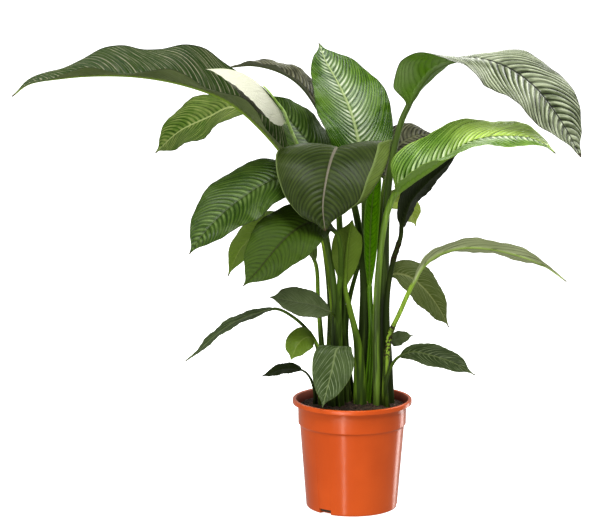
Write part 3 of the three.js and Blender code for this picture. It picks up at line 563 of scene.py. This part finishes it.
def leaf_finish(name, top, crown, vein, rib, below, margin, stalk, stalk_foot, gloss=0.34,
                sheen=0.25, vein_strength=0.6, crown_share=0.4, back_lines=0.4, rib_share=0.9,
                bloom=None, fresh_tip=None):
    """A leaf's skin: blotches between two greens above, a painted sheen that lightens the crown of
    each pleat, lines in the creases, which where dark are partly painted shade, and threads along
    them, a midrib, a duller underside of its own colour, a thin margin, and a stalk with pale
    edges on its sheath and pale streaks that are partly painted highlight. Noise over the vein
    number makes no two pleats alike. A painted highlight lightens the crowns near the midrib,
    and painted light fades in along the blade on one half of it, where that half lies in shade."""
    finish, tree, surface = new_finish(name, Specular_IOR_Level=sheen)
    number, share, along = recorded(tree, "vein")
    upper, blade, from_rib = recorded(tree, "part")
    climb, turn, ragged = recorded(tree, "stalk")
    crease = counted(tree, "PINGPONG", number, 0.5)
    across = times(tree, share, 2.5)
    pleat_place = shader(tree, "CombineXYZ", {"X": number, "Y": across, "Z": along})
    uneven = blotches(tree, 0.9, 2, place=pleat_place.outputs["Vector"])
    threads = blotches(tree, 1, 3, (5, 1, 1), pleat_place.outputs["Vector"])
    cloud = blotches(tree, 22, 3)
    grain = blotches(tree, 260, 2)
    frayed = counted(tree, "MULTIPLY_ADD", threads, 0.4, crease)
    line = between(tree, frayed, 0.22, 0.34, 1, 0)
    line = times(tree, line, between(tree, uneven, 0.35, 0.65, 1.1, 0.4))
    ribbed = between(tree, from_rib, 0.55, 1.05, 1, 0)
    edge = between(tree, share, 0.955, 0.985)

    # the upper side
    lit = tinted(tree, between(tree, cloud, 0.35, 0.7, 0, 0.4), top, crown)
    # Painted sheen: the crown of each pleat is lightened towards the crown colour, standing in for the
    # lamps' sheen on the ridges.
    crown_sheen = between(tree, frayed, 0.32, 0.64, 0, crown_share)
    crown_sheen = times(tree, crown_sheen, between(tree, uneven, 0.35, 0.65, 0.3, 1.3))
    lit = tinted(tree, crown_sheen, lit, crown)
    # Painted highlight: the crowns near the midrib are lightened towards a pale colour, as if they
    # caught the lamps.
    if bloom:
        heart = times(tree, crown_sheen, between(tree, share, 0.1, 0.6, 1.2, 0))
        lit = tinted(tree, heart, lit, bloom)
    # Painted light: from the middle of the blade outwards, one half is lightened towards a bright
    # colour, standing in for light on a half that lies in shade.
    if fresh_tip:
        half_share = between(tree, counted(tree, "ABSOLUTE", turn), 1.4, 1.75, 0.9, 0)
        fresh = times(tree, between(tree, along, 0.31, 0.66), half_share)
        lit = tinted(tree, fresh, lit, fresh_tip)
    lit = tinted(tree, between(tree, threads, 0.34, 0.52, 0.3, 0), lit, vein)
    # The lines in the creases take the vein colour; where that colour is dark they are partly painted
    # shade in the creases.
    lit = tinted(tree, times(tree, line, vein_strength), lit, vein)
    lit = tinted(tree, times(tree, ribbed, rib_share), lit, rib)

    # the underside, and the margin and the dry tip of both
    dull = tinted(tree, between(tree, cloud, 0.3, 0.7, 0, 0.4), below, crown)
    dull = tinted(tree, times(tree, line, back_lines), dull, vein)
    dull = tinted(tree, times(tree, ribbed, 0.7), dull, stalk)
    leaf = tinted(tree, upper, dull, lit)
    leaf = tinted(tree, times(tree, edge, 0.6), leaf, margin)
    leaf = tinted(tree, between(tree, along, 0.975, 0.998, 0, 0.8), leaf, paint(*DRY_TIP))

    # the stalk with the lips of its sheath
    # The pale streaks along the stalk are partly its own stripes and partly a painted highlight; the
    # pale lips of the sheath are its own colour.
    pale_stalk_and_highlight = tuple(1.7 * np.array(stalk))
    streak = blotches(tree, 150, 2, (1, 1, 0.05))
    from_top = counted(tree, "ABSOLUTE", counted(tree, "SUBTRACT", turn, 0.5 * np.pi))
    lip = times(tree, between(tree, from_top, 0.4, 0.6), between(tree, from_top, 0.7, 1, 1, 0))
    lip = times(tree, lip, between(tree, climb, 0.3, 0.8, 0.7, 0))
    stem = tinted(tree, between(tree, climb, 0.3, 0.95), stalk_foot, stalk)
    stem = tinted(tree, between(tree, streak, 0.42, 0.62, 0, 0.6), stem, pale_stalk_and_highlight)
    stem = tinted(tree, lip, stem, pale_stalk_and_highlight)
    worn = times(tree, ragged, between(tree, grain, 0.4, 0.6))
    stem = tinted(tree, worn, stem, paint(*FRAYED_EDGE))

    # gloss and relief
    waxy = counted(tree, "ADD", between(tree, cloud, 0.3, 0.7, gloss - 0.04, gloss + 0.06),
                   between(tree, uneven, 0.35, 0.65, -0.04, 0.06))
    duller = counted(tree, "ADD", waxy, counted(tree, "MULTIPLY_ADD", upper, -0.2, 0.2))
    tree.links.new(duller, surface.inputs["Roughness"])
    relief = counted(tree, "MULTIPLY_ADD", threads, 0.5, uneven)
    coat(tree, surface, tinted(tree, blade, stem, leaf), relief, strength=0.5, depth=0.0016)
    return finish


def painted_leaf(name, **values):
    """A leaf's skin from screen colours: each value that is a colour is painted first."""
    looks = {key: paint(*v) if isinstance(v, tuple) else v for key, v in values.items()}
    return leaf_finish(name, **looks)


glossy_green = painted_leaf(
    "glossy mid green", top=(50, 90, 0), crown=(114, 150, 30), vein=(20, 44, 0), rib=(170, 186, 130),
    below=(90, 116, 40), margin=(52, 70, 20), stalk=(76, 100, 30), stalk_foot=(52, 70, 20), gloss=0.26,
    sheen=0.35, vein_strength=0.95, crown_share=0.6, bloom=(216, 222, 200))
# Painted sheen: the pale grey crowns of this leaf stand in for the lamps' sheen on its pleats, over a
# dark green.
sheen_painted_green = painted_leaf(
    "green with painted sheen", top=(76, 88, 52), crown=(176, 184, 154), vein=(18, 22, 8), rib=(26, 30, 14),
    below=(112, 154, 30), margin=(40, 40, 26), stalk=(84, 106, 40), stalk_foot=(52, 66, 20), gloss=0.26,
    sheen=0.35, vein_strength=1, crown_share=0.9, back_lines=0.05)
olive_green = painted_leaf(
    "olive green", top=(30, 60, 0), crown=(64, 84, 22), vein=(150, 148, 122), rib=(120, 126, 84),
    below=(122, 136, 84), margin=(30, 34, 14), stalk=(160, 192, 60), stalk_foot=(72, 94, 26), gloss=0.4,
    sheen=0.15, vein_strength=1, back_lines=0.25)
light_green = painted_leaf(
    "light green", top=(66, 100, 6), crown=(136, 146, 84), vein=(40, 52, 10), rib=(156, 166, 110),
    below=(104, 120, 46), margin=(36, 44, 10), stalk=(100, 122, 34), stalk_foot=(64, 84, 24), gloss=0.4,
    sheen=0.2, vein_strength=0.8, crown_share=0.7)
brown_green = painted_leaf(
    "brown-green", top=(50, 52, 30), crown=(136, 136, 108), vein=(28, 28, 14), rib=(120, 122, 92),
    below=(110, 118, 84), margin=(46, 44, 30), stalk=(80, 100, 30), stalk_foot=(56, 74, 22), sheen=0.2,
    vein_strength=0.9, crown_share=0.7)
deep_green = painted_leaf(
    "deep green", top=(48, 76, 8), crown=(86, 110, 34), vein=(30, 48, 6), rib=(52, 62, 28),
    below=(84, 104, 40), margin=(40, 50, 20), stalk=(84, 110, 34), stalk_foot=(54, 72, 22),
    vein_strength=0.7, crown_share=0.6, rib_share=0.4, bloom=(112, 134, 76))

grown_leaf("leaf_tall_centre", glossy_green, [
    [22, 34, 172], [23, 44, 361], [23, 50, 486], [21, 60, 565], [12, 74, 636], [-3, 94, 694],
    [-28, 118, 747], [-47, 134, 780], [-58, 150, 810]],
    width=148, widest=0.48, sharpness=0.9, azimuth=114, fold=18, curl=-12, wave=[4, 3, 0.2], foot=10,
    neck=6, pleat=1.9, slot="leaf_bright")

grown_leaf("leaf_top_right", sheen_painted_green, [
    [52, 10, 172], [55, 10, 367], [60, 20, 543], [72, 26, 630], [85, 24, 682], [95, 20, 705],
    [113, 8, 741], [141, -8, 776], [196, -29, 794], [255, -52, 781], [306, -73, 745], [350, -92, 686],
    [379, -110, 632]],
    blade_from=5, width=156, widest=0.42, sharpness=0.62, azimuth=-14,
    roll=[-55, -45, 0, 28, 32, 34, 30], fold=[60, 44, 4, -4, 8, 16, 12],
    fold_right=[4, 4, 8, 8, 8, 8, 8], curl=[-14, -16], wave=[4, 4, 0.2], foot=9.5, neck=5.3,
    vein_gap=13.5, pleat=3.2, slot="leaf_bright")

grown_leaf("leaf_long_left", olive_green, [
    [-28, 16, 172], [-34, 12, 367], [-61, 4, 510], [-106, -8, 607], [-157, -30, 673], [-214, -54, 723],
    [-285, -79, 752], [-359, -101, 767], [-431, -118, 770], [-489, -135, 766], [-540, -149, 757],
    [-565, -164, 738]],
    width=132, widest=0.42, sharpness=1.35, azimuth=180, fold=[14, 12, 12], fold_right=[64, 58, 44],
    curl=[5, 6], wave=[8, 4, 0.15], foot=8.5, neck=4, vein_gap=10, pleat=2)

grown_leaf("leaf_mid_left", light_green, [
    [-42, 32, 172], [-35, 58, 359], [-64, 84, 526], [-124, 106, 647], [-174, 116, 689],
    [-217, 132, 696], [-257, 148, 677], [-309, 160, 651], [-355, 174, 610]],
    blade_from=4, width=112, widest=0.5, azimuth=160, roll=[-36, -50], fold=12, fold_right=14, curl=-12,
    wave=[4, 3, 0.3], foot=8.5, neck=4.6, pleat=1.3)

grown_leaf("leaf_back_arching", brown_green, [
    [-16, 48, 172], [-18, 86, 354], [-23, 150, 527], [-34, 190, 623], [-52, 205, 678], [-87, 208, 729],
    [-125, 219, 754], [-176, 230, 766], [-226, 240, 761]],
    blade_from=4, width=76, widest=0.35, sharpness=0.9, azimuth=165, roll=[-18, -10], fold=26,
    fold_right=12, curl=[10, -10], wave=[2.5, 4, 0.1], foot=7.5, neck=4.3, pleat=1.6)

grown_leaf("leaf_back_dark", deep_green, [
    [-20, 32, 172], [-19, 54, 360], [-21, 70, 483], [-35, 84, 574], [-62, 92, 618], [-92, 96, 655],
    [-122, 94, 691], [-149, 88, 723]],
    width=98, azimuth=165, roll=-30, fold=12, wave=[3, 3, 0.1], foot=7.5, neck=4.3, pleat=1.8)

grown_leaf("leaf_right_behind", brown_green, [
    [46, 28, 172], [50, 40, 362], [50, 60, 502], [59, 80, 571], [70, 100, 612], [87, 119, 631],
    [115, 139, 644], [150, 158, 646]],
    width=84, widest=0.4, sharpness=0.7, azimuth=30, roll=40, foot=7, neck=3.9, pleat=1.6)

# ---- front leaves ----
# The broad leaf that hangs forwards over the clump, the two that droop to the left, the
# pale one behind them and the small pale one that shows its back.
slate_green = painted_leaf(
    "slate green", top=(44, 60, 10), crown=(74, 88, 34), vein=(30, 40, 8), rib=(128, 122, 108),
    below=(100, 118, 50), margin=(130, 146, 92), stalk=(84, 108, 34), stalk_foot=(54, 72, 22),
    gloss=0.4, sheen=0.2, vein_strength=0.8, crown_share=0.5, back_lines=0.6)
bottle_green = painted_leaf(
    "bottle green", top=(60, 84, 14), crown=(78, 100, 30), vein=(38, 50, 12), rib=(50, 52, 26),
    below=(84, 104, 40), margin=(64, 84, 28), stalk=(84, 110, 34), stalk_foot=(54, 72, 22), gloss=0.46,
    sheen=0.12, vein_strength=0.5, crown_share=0.45, rib_share=0.6)
pale_green = painted_leaf(
    "pale green", top=(110, 136, 36), crown=(122, 148, 52), vein=(128, 150, 68), rib=(140, 160, 74),
    below=(106, 130, 36), margin=(66, 82, 20), stalk=(116, 146, 40), stalk_foot=(64, 88, 24),
    gloss=0.45, vein_strength=0.45)

grown_leaf("leaf_front_arching", slate_green, [
    [16, 16, 172], [22, 16, 366], [13, 18, 481], [-7, 20, 575], [-20, -20, 631], [-29, -64, 644],
    [-40, -104, 626], [-49, -132, 592], [-54, -146, 552], [-50, -150, 512]],
    width=196, widest=0.5, sharpness=0.75, azimuth=-90, fold=14, fold_right=12, curl=[-24, -40],
    wave=[3, 3, 0], foot=9, neck=5.6, vein_gap=10, pleat=1.5, turned_in=0.24)

grown_leaf("leaf_left_upper_droop", deep_green, [
    [-38, 2, 172], [-31, -22, 373], [-47, -28, 479], [-80, -40, 561], [-119, -60, 591],
    [-155, -77, 582], [-188, -88, 562], [-222, -111, 537], [-250, -131, 510], [-277, -147, 473]],
    width=120, sharpness=0.85, azimuth=205, roll=[-26, -36], fold=12, curl=[-22, -16], wave=[4, 3, 0.1],
    foot=6.5, neck=5, vein_gap=10, pleat=2)

grown_leaf("leaf_left_lower_droop", bottle_green, [
    [-22, -14, 172], [-25, -46, 377], [-22, -64, 450], [-29, -76, 497], [-51, -84, 517],
    [-78, -101, 519], [-109, -128, 504], [-140, -152, 474], [-163, -172, 448], [-186, -190, 426]],
    width=110, widest=0.46, sharpness=0.85, azimuth=215, roll=[-30, -36], fold=10, curl=[-16, -12],
    wave=[4, 3, 0.2], foot=8.5, neck=4.1, vein_gap=10, pleat=1.3)

grown_leaf("leaf_left_pale", pale_green, [
    [-46, 16, 172], [-60, 14, 367], [-64, 16, 429], [-81, 20, 469], [-117, 20, 494], [-158, 18, 490],
    [-195, 19, 458], [-219, 24, 408]],
    blade_from=2, width=84, widest=0.5, azimuth=180, roll=[-26, -36], fold=10, wave=[3, 3, 0.2],
    foot=5.5, neck=3.4, pleat=0.6, slot="leaf_pale")

grown_leaf("leaf_centre_pale", pale_green, [
    [14, -8, 172], [9, -20, 293], [-5, -32, 357], [-14, -40, 397], [-13, -44, 443], [-9, -44, 482],
    [-2, -36, 515]],
    width=56, widest=0.6, sharpness=0.6, azimuth=-90, fold=16, curl=10, foot=9.1, neck=4.3, vein_gap=8,
    pleat=0.5, slot="leaf_pale")

# ---- right-hand leaves ----
# The lime leaf that reaches out to the right, the dark one under it, the blotched one
# behind, the rolled young leaf, and the drooping and the narrow leaf lower down.
lime_green = painted_leaf(
    "lime green", top=(88, 130, 30), crown=(156, 188, 92), vein=(30, 56, 4), rib=(60, 84, 24),
    below=(134, 176, 56), margin=(160, 190, 76), stalk=(124, 154, 60), stalk_foot=(74, 92, 42),
    gloss=0.28, sheen=0.35, vein_strength=0.95, crown_share=0.75, back_lines=0.15,
    bloom=(226, 238, 200), fresh_tip=(218, 248, 122))
shaded_green = painted_leaf(
    "shaded green", top=(40, 52, 16), crown=(54, 66, 26), vein=(70, 82, 46), rib=(56, 62, 38),
    below=(34, 44, 14), margin=(28, 36, 10), stalk=(50, 62, 22), stalk_foot=(44, 60, 20), gloss=0.5,
    sheen=0.12, vein_strength=0.4)
blotched_green = painted_leaf(
    "blotched green", top=(170, 196, 60), crown=(210, 220, 150), vein=(190, 204, 120),
    rib=(180, 196, 100), below=(176, 200, 74), margin=(100, 122, 30), stalk=(90, 116, 30),
    stalk_foot=(54, 78, 22), gloss=0.5, vein_strength=0.5)
young_green = painted_leaf(
    "young green", top=(124, 186, 8), crown=(150, 204, 36), vein=(60, 100, 2), rib=(150, 184, 76),
    below=(112, 160, 12), margin=(60, 92, 6), stalk=(100, 142, 24), stalk_foot=(60, 84, 20), gloss=0.36)
dull_olive = painted_leaf(
    "dull olive", top=(86, 102, 36), crown=(104, 116, 56), vein=(150, 160, 108), rib=(150, 158, 100),
    below=(96, 106, 44), margin=(48, 52, 22), stalk=(84, 106, 30), stalk_foot=(52, 70, 22), gloss=0.5,
    sheen=0.15, vein_strength=0.7, crown_share=0.3)
sage_green = painted_leaf(
    "sage green", top=(168, 178, 132), crown=(194, 202, 162), vein=(84, 94, 58), rib=(164, 182, 92),
    below=(176, 186, 138), margin=(70, 74, 44), stalk=(150, 180, 66), stalk_foot=(50, 66, 22),
    gloss=0.42, vein_strength=0.9, back_lines=0.8)

grown_leaf("leaf_right_bright", lime_green, [
    [44, -8, 172], [42, -14, 372], [50, -16, 478], [60, -18, 530], [72, -20, 558], [99, -27, 582],
    [131, -37, 605], [164, -47, 630], [192, -60, 651], [225, -73, 662], [257, -84, 665],
    [289, -97, 664], [315, -106, 655], [336, -116, 639]],
    blade_from=4, width=148, widest=0.36, sharpness=0.66, azimuth=-14, fold=[66, 54, 34, 20, 14, 10],
    fold_right=[12, 10, 0, -10, -14, -10], curl=[4, 0], wave=[4, 3, 0], foot=7, neck=5.5, vein_gap=11,
    pleat=3, slot="leaf_bright")

grown_leaf("leaf_right_dark", shaded_green, [
    [68, 4, 172], [60, -8, 371], [70, -2, 437], [84, 8, 481], [86, 20, 501], [99, 34, 538],
    [130, 54, 571], [163, 72, 597], [188, 86, 620]],
    blade_from=3.6, width=76, widest=0.4, azimuth=20, roll=-50, foot=7, neck=3.9, pleat=0.6,
    ragged=(0.8, 0.94))

grown_leaf("leaf_right_blotched", blotched_green, [
    [2, 44, 172], [-10, 53, 315], [11, 62, 416], [47, 80, 496], [64, 89, 519], [79, 98, 530],
    [96, 107, 527], [109, 115, 509], [117, 122, 483]],
    blade_from=4, width=56, widest=0.4, sharpness=0.7, azimuth=0, roll=[40, 50], foot=5, neck=2.9,
    vein_gap=8, pleat=0.5, slot="leaf_pale")

grown_leaf("leaf_young_rolled", young_green, [
    [26, 4, 172], [33, 2, 315], [30, 2, 387], [30, 4, 457], [32, 6, 518], [38, 8, 571], [50, 12, 614]],
    blade_from=2, width=84, widest=0.55, sharpness=0.7, azimuth=90, fold=50, curl=60, foot=6.5,
    neck=4.5, vein_gap=8, pleat=0.5, slot="leaf_bright")

grown_leaf("leaf_right_droop", dull_olive, [
    [66, 24, 172], [64, 40, 300], [60, 44, 352], [61, 46, 386], [72, 51, 406], [100, 61, 402],
    [130, 73, 377], [157, 86, 340], [177, 100, 302]],
    blade_from=3.6, width=80, widest=0.42, sharpness=1, azimuth=12, roll=50, curl=-14, foot=7, neck=3.2,
    vein_gap=8, pleat=0.7, lean=(0.9, 1.3))

grown_leaf("leaf_right_narrow", sage_green, [
    [56, -8, 172], [59, -16, 244], [65, -20, 311], [82, -24, 352], [99, -28, 393], [117, -32, 431],
    [144, -45, 457], [185, -62, 472], [230, -80, 473], [278, -98, 464], [322, -115, 448],
    [357, -130, 424]],
    blade_from=4, width=48, widest=0.55, azimuth=-14, roll=[-10, -30, -38, -40, -20], fold_right=10,
    curl=-5, wave=[2, 4, 0], foot=5, neck=3.9, vein_gap=45, pleat=0.6, lean=(4, 3), ragged=(0.42, 0.72),
    slot="leaf_pale")

# ---- low young leaves ----
# Small leaves of the same make, which leave the clump low down on thin stalks. Some of
# them show pale stripes along their veins.
striped_green = painted_leaf(
    "striped green", top=(54, 74, 26), crown=(92, 110, 62), vein=(146, 160, 120), rib=(130, 144, 98),
    below=(92, 104, 50), margin=(128, 146, 86), stalk=(80, 102, 32), stalk_foot=(50, 68, 22), gloss=0.4,
    sheen=0.2, vein_strength=0.8, crown_share=0.5)
feathered_green = painted_leaf(
    "feathered green", top=(40, 54, 16), crown=(60, 76, 32), vein=(128, 140, 102), rib=(92, 104, 60),
    below=(92, 104, 50), margin=(120, 136, 84), stalk=(80, 102, 32), stalk_foot=(50, 68, 22),
    gloss=0.44, sheen=0.15)
grey_green = painted_leaf(
    "grey-green", top=(90, 106, 62), crown=(122, 136, 96), vein=(134, 146, 108), rib=(118, 130, 92),
    below=(110, 122, 84), margin=(48, 56, 28), stalk=(80, 100, 34), stalk_foot=(50, 66, 22), gloss=0.44,
    sheen=0.2, vein_strength=0.5, crown_share=0.5)

grown_leaf("leaf_low_left", grey_green, [
    [-6, 8, 172], [-11, -4, 263], [-15, -14, 308], [-26, -24, 336], [-38, -42, 354], [-68, -63, 371],
    [-104, -85, 382], [-143, -106, 393]],
    blade_from=4, width=56, widest=0.5, sharpness=0.75, azimuth=205, roll=-55, fold=10, curl=-12,
    wave=[1.5, 3, 0], foot=5.2, neck=2.2, pleat=0.8, lean=(0.9, 1.2))

grown_leaf("leaf_low_long", striped_green, [
    [-48, 6, 172], [-57, 0, 244], [-62, -2, 287], [-78, -4, 315], [-104, -6, 340], [-134, -8, 355],
    [-171, -3, 345], [-211, 5, 327], [-247, 13, 299], [-272, 24, 273], [-296, 36, 253]],
    blade_from=5, width=32, sharpness=0.85, azimuth=170, roll=[-28, -30], curl=-6, wave=[1.5, 4, 0],
    foot=4.2, neck=2.5, vein_gap=36, pleat=0.6, lean=(4, 3))

grown_leaf("leaf_low_pale", pale_green, [
    [-56, -8, 172], [-59, -20, 239], [-57, -22, 281], [-66, -24, 301], [-78, -35, 310],
    [-94, -49, 302], [-108, -62, 275]],
    width=48, sharpness=0.7, azimuth=205, roll=[-40, -50], fold=6, wave=[1, 3, 0], foot=3.6, neck=2,
    vein_gap=7, pleat=0.3, slot="leaf_pale")

grown_leaf("leaf_low_thin", shaded_green, [
    [-66, -2, 172], [-66, -10, 207], [-76, -14, 236], [-88, -16, 247], [-120, -6, 247], [-159, 6, 232]],
    width=28, azimuth=170, roll=-34, fold=10, curl=-6, wave=[1, 3, 0], foot=3.4, neck=1.8, vein_gap=6,
    pleat=0.2)

grown_leaf("leaf_low_front", striped_green, [
    [-36, -22, 172], [-35, -44, 250], [-26, -58, 287], [-23, -70, 300], [-30, -84, 296],
    [-37, -94, 266], [-46, -98, 230], [-54, -98, 198]],
    blade_from=2.6, width=72, widest=0.36, sharpness=1, azimuth=-95, fold=6, curl=-14, foot=5, neck=2.7,
    vein_gap=14, pleat=1.6, lean=(1.5, 1))

grown_leaf("leaf_low_right", feathered_green, [
    [62, -24, 172], [58, -36, 225], [66, -42, 258], [78, -54, 278], [101, -67, 290], [131, -84, 288],
    [168, -101, 279], [206, -116, 260]],
    width=48, sharpness=0.95, azimuth=-22, roll=[36, 40], wave=[1.5, 3, 0], foot=5, neck=2.5,
    vein_gap=10, pleat=0.8, lean=(0.9, 1.4))

grown_leaf("leaf_low_back", grey_green, [
    [60, 50, 172], [62, 54, 232], [63, 54, 268], [68, 52, 284], [84, 48, 291], [108, 42, 298]],
    width=32, widest=0.35, sharpness=0.9, azimuth=10, roll=40, wave=[1, 3, 0], foot=3.4, neck=1.8,
    vein_gap=6, pleat=0.2)

# ---- flower and shoot ----
# The flower is a pale green stalk, a thin ivory hood whose back carries the stalk on as a
# green rib, and a knobbly cream spike inside the hood. The shoot has only just left the soil.
SCAPE_ROUTE = [
    [-24, 2, 172], [-29, -2, 334], [-47, 2, 493], [-80, 2, 601], [-99, -8, 647], [-107, -22, 668],
    [-112.7, -38, 684.3], [-119.1, -56.1, 703.6], [-131.4, -74.5, 721.7], [-142.8, -88.7, 738],
    [-153.5, -94.6, 750],
]
SPADIX_ROUTE = [[-128, -56, 695.4], [-140, -75, 710.4], [-155, -93, 727.4], [-168, -99, 741.4]]
SHOOT_ROUTE = [[1, 22, 172], [1, 22, 186], [-1, 20, 198], [-5, 18, 210]]
STEM_STEPS = 600
STEM_BEARING = 200
KNOB_SPIRALS = 5
KNOB_TWIST = 2.1


def round_stem(name, node, slot, finish, route, radii, row_gap, around, knobs=0.0):
    """A round body along a route, its radius read from a list; knobs raise it in a lattice of
    n spirals each way with a twist w: |sin(n a + w s)| times |sin(n a - w s)| of the angle a
    and the length s."""
    line, _, gone = curve_through(route, STEM_STEPS)
    share = np.linspace(0, 1, int(gone[-1] / row_gap) + 1)
    rows = directions(line, gone, gone[-1] * share, share, STEM_BEARING, 0)
    centre, left, up = (row[:, None] for row in rows)
    angle = np.linspace(0, 2 * np.pi, around, endpoint=False)
    spiral = KNOB_TWIST * gone[-1] * share[:, None]
    round_about = KNOB_SPIRALS * angle
    bumps = np.abs(np.sin(round_about + spiral)) * np.abs(np.sin(round_about - spiral))
    end = np.sqrt(np.minimum(1, (1.02 - share) * gone[-1] / max(radii[-1], 0.5) / 2))
    girth = (spread(radii, share) * np.minimum(end, 1))[:, None] * (1 + knobs * (bumps - 0.6))
    rings = moved(centre, left, up, girth * np.cos(angle), girth * np.sin(angle))
    new_piece(name, node, slot, finish, *closed_loft(rings))


def stem_finish(name, first, second, gloss):
    """A stalk's skin: two colours in streaks along it."""
    finish, tree, surface = new_finish(name, Roughness=gloss)
    streak = blotches(tree, 120, 2, (1, 1, 0.05))
    colour = tinted(tree, between(tree, streak, 0.35, 0.65), first, second)
    coat(tree, surface, colour, streak, strength=0.15, depth=0.0005)
    return finish


pale_stem = stem_finish("pale green stalk", paint(148, 182, 78), paint(206, 230, 156), 0.38)
shoot_green = stem_finish("yellow-green shoot", paint(140, 160, 60), paint(184, 196, 100), 0.4)
cream = stem_finish("cream spike", paint(226, 216, 160), paint(238, 232, 190), 0.6)
ivory = leaf_finish(
    "ivory hood", top=(0.45, 0.45, 0.36), crown=(0.48, 0.48, 0.4), vein=(0.4, 0.41, 0.3),
    rib=(0.38, 0.43, 0.2), below=(0.52, 0.52, 0.42), margin=(0.5, 0.5, 0.41), stalk=(0.36, 0.46, 0.18),
    stalk_foot=(0.28, 0.4, 0.11), gloss=0.42, vein_strength=0.3)

round_stem("flower_stalk_grown", "flower_stalk", "flower_stalk", pale_stem, SCAPE_ROUTE,
           radii=[4.6, 4, 3.6, 3.4, 1.4], row_gap=4, around=28)
round_stem("spadix_grown", "spadix", "spadix", cream, SPADIX_ROUTE,
           radii=[2.4, 4.2, 4.2, 2.8], row_gap=0.35, around=90, knobs=0.16)
round_stem("young_shoot_grown", "young_shoot", "leaf_bright", shoot_green, SHOOT_ROUTE,
           radii=[1.8, 1.7, 1.3, 0.6], row_gap=1, around=16)

grown_leaf("spathe", ivory, [
    [-116, -38, 681], [-123, -56, 701], [-134, -75, 720], [-146, -90, 736], [-162, -97, 755],
    [-184, -102, 770], [-212, -104, 779], [-250, -104, 779]],
    blade_from=0, width=84, widest=0.46, azimuth=200, fold=[-50, -52, -50, -40], curl=-4,
    wave=[1, 3, 0], foot=1.2, neck=1.2, vein_gap=4, pleat=0.08, slot="spathe")

# ---- studio ----
# A pale floor, a white surround and soft lamps: one overhead, one high on the right, one
# behind and four in front or at the sides, and a strip that draws the highlight on the pot.
FLOOR_RADIUS = 60
FLOOR_SIDES = 96
floor_mesh = bpy.data.meshes.new("floor")
floor_turn = np.linspace(0, 2 * np.pi, FLOOR_SIDES, endpoint=False)
floor_points = np.stack([np.cos(floor_turn), np.sin(floor_turn), 0 * floor_turn], -1) * FLOOR_RADIUS
floor_mesh.from_pydata(floor_points.tolist(), [], [list(range(FLOOR_SIDES))])
paper, tree, surface = new_finish("pale floor", Roughness=0.8, Base_Color=(0.5, 0.5, 0.5, 1),
                                  Emission_Color=(1, 1, 1, 1))
# The floor glows white of itself, more dimly near the pot so that the lamps' shadow still shows there,
# and it sheds no light on the pot or the plant.
place = shader(tree, "TexCoord").outputs["Object"]
reach = shader(tree, "VectorMath", {0: place}, operation="LENGTH").outputs["Value"]
tree.links.new(between(tree, reach, 0.1, 1.2, 0.7, 1), surface.inputs["Emission Strength"])
floor_mesh.materials.append(paper)
floor = placed("floor", floor_mesh)
floor.visible_diffuse = False
floor.visible_glossy = False
floor.visible_shadow = False
floor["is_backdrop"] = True


def soft_lamp(name, place, target, width, height, power):
    """A rectangular lamp of a power in watts at a place, turned to face the target."""
    lamp = bpy.data.lights.new(name, "AREA")
    lamp.shape = "RECTANGLE"
    lamp.size = width
    lamp.size_y = height
    lamp.energy = power
    holder = placed(name, lamp)
    holder.location = place
    aim = Vector(target) - Vector(place)
    holder.rotation_euler = aim.to_track_quat("-Z", "Y").to_euler()


soft_lamp("overhead lamp", (-0.4, -1.0, 2.5), (0, 0, 0.5), 1.8, 0.8, 40)
soft_lamp("high right lamp", (1.6, 0.9, 1.9), (0, 0, 0.6), 1.2, 1.2, 24)
soft_lamp("back lamp", (0.0, 2.3, 2.2), (0, 0, 0.6), 2.0, 0.8, 16)
soft_lamp("front lamp", (0.8, -2.6, 2.9), (0, 0, 0.5), 1.2, 0.9, 45)
soft_lamp("low front lamp", (-1.2, -3.2, -0.3), (0, 0, 0.2), 2.4, 1.0, 30)
soft_lamp("left lamp", (-2.2, -1.6, 1.6), (0, 0, 0.5), 0.8, 1.0, 10)
soft_lamp("low right lamp", (1.9, 1.7, -0.4), (0, 0, 0.1), 0.7, 1.2, 9)
soft_lamp("strip lamp", (-0.95, -2.5, -0.7), (0, 0, 0.1), 0.16, 2.4, 14)

surround = bpy.data.worlds.new("white surround")
surround.use_nodes = True
backdrop = surround.node_tree.nodes["Background"].inputs
backdrop["Color"].default_value = (1, 1, 1, 1)
backdrop["Strength"].default_value = 0.5
bpy.context.scene.world = surround
view = bpy.context.scene.view_settings
view.view_transform = "Standard"
view.exposure = 0.25
view.gamma = 0.82

CAMERA_PLACE = (-0.092, -3.5, 0.985)
CAMERA_PITCH_DOWN = 8.95
LENS_LENGTH = 121.8
SENSOR_WIDTH = 36
lens = bpy.data.cameras.new("camera")
lens.lens = LENS_LENGTH
lens.sensor_width = SENSOR_WIDTH
lens.sensor_fit = "HORIZONTAL"
camera = placed("camera", lens)
camera.location = CAMERA_PLACE
camera.rotation_euler = (np.radians(90 - CAMERA_PITCH_DOWN), 0, 0)
bpy.context.scene.camera = camera

seen_low, seen_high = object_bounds()
sizes = {
    "cad": [list(cad_low), list(cad_high)],
    "visual": [list(seen_low), list(seen_high)],
}
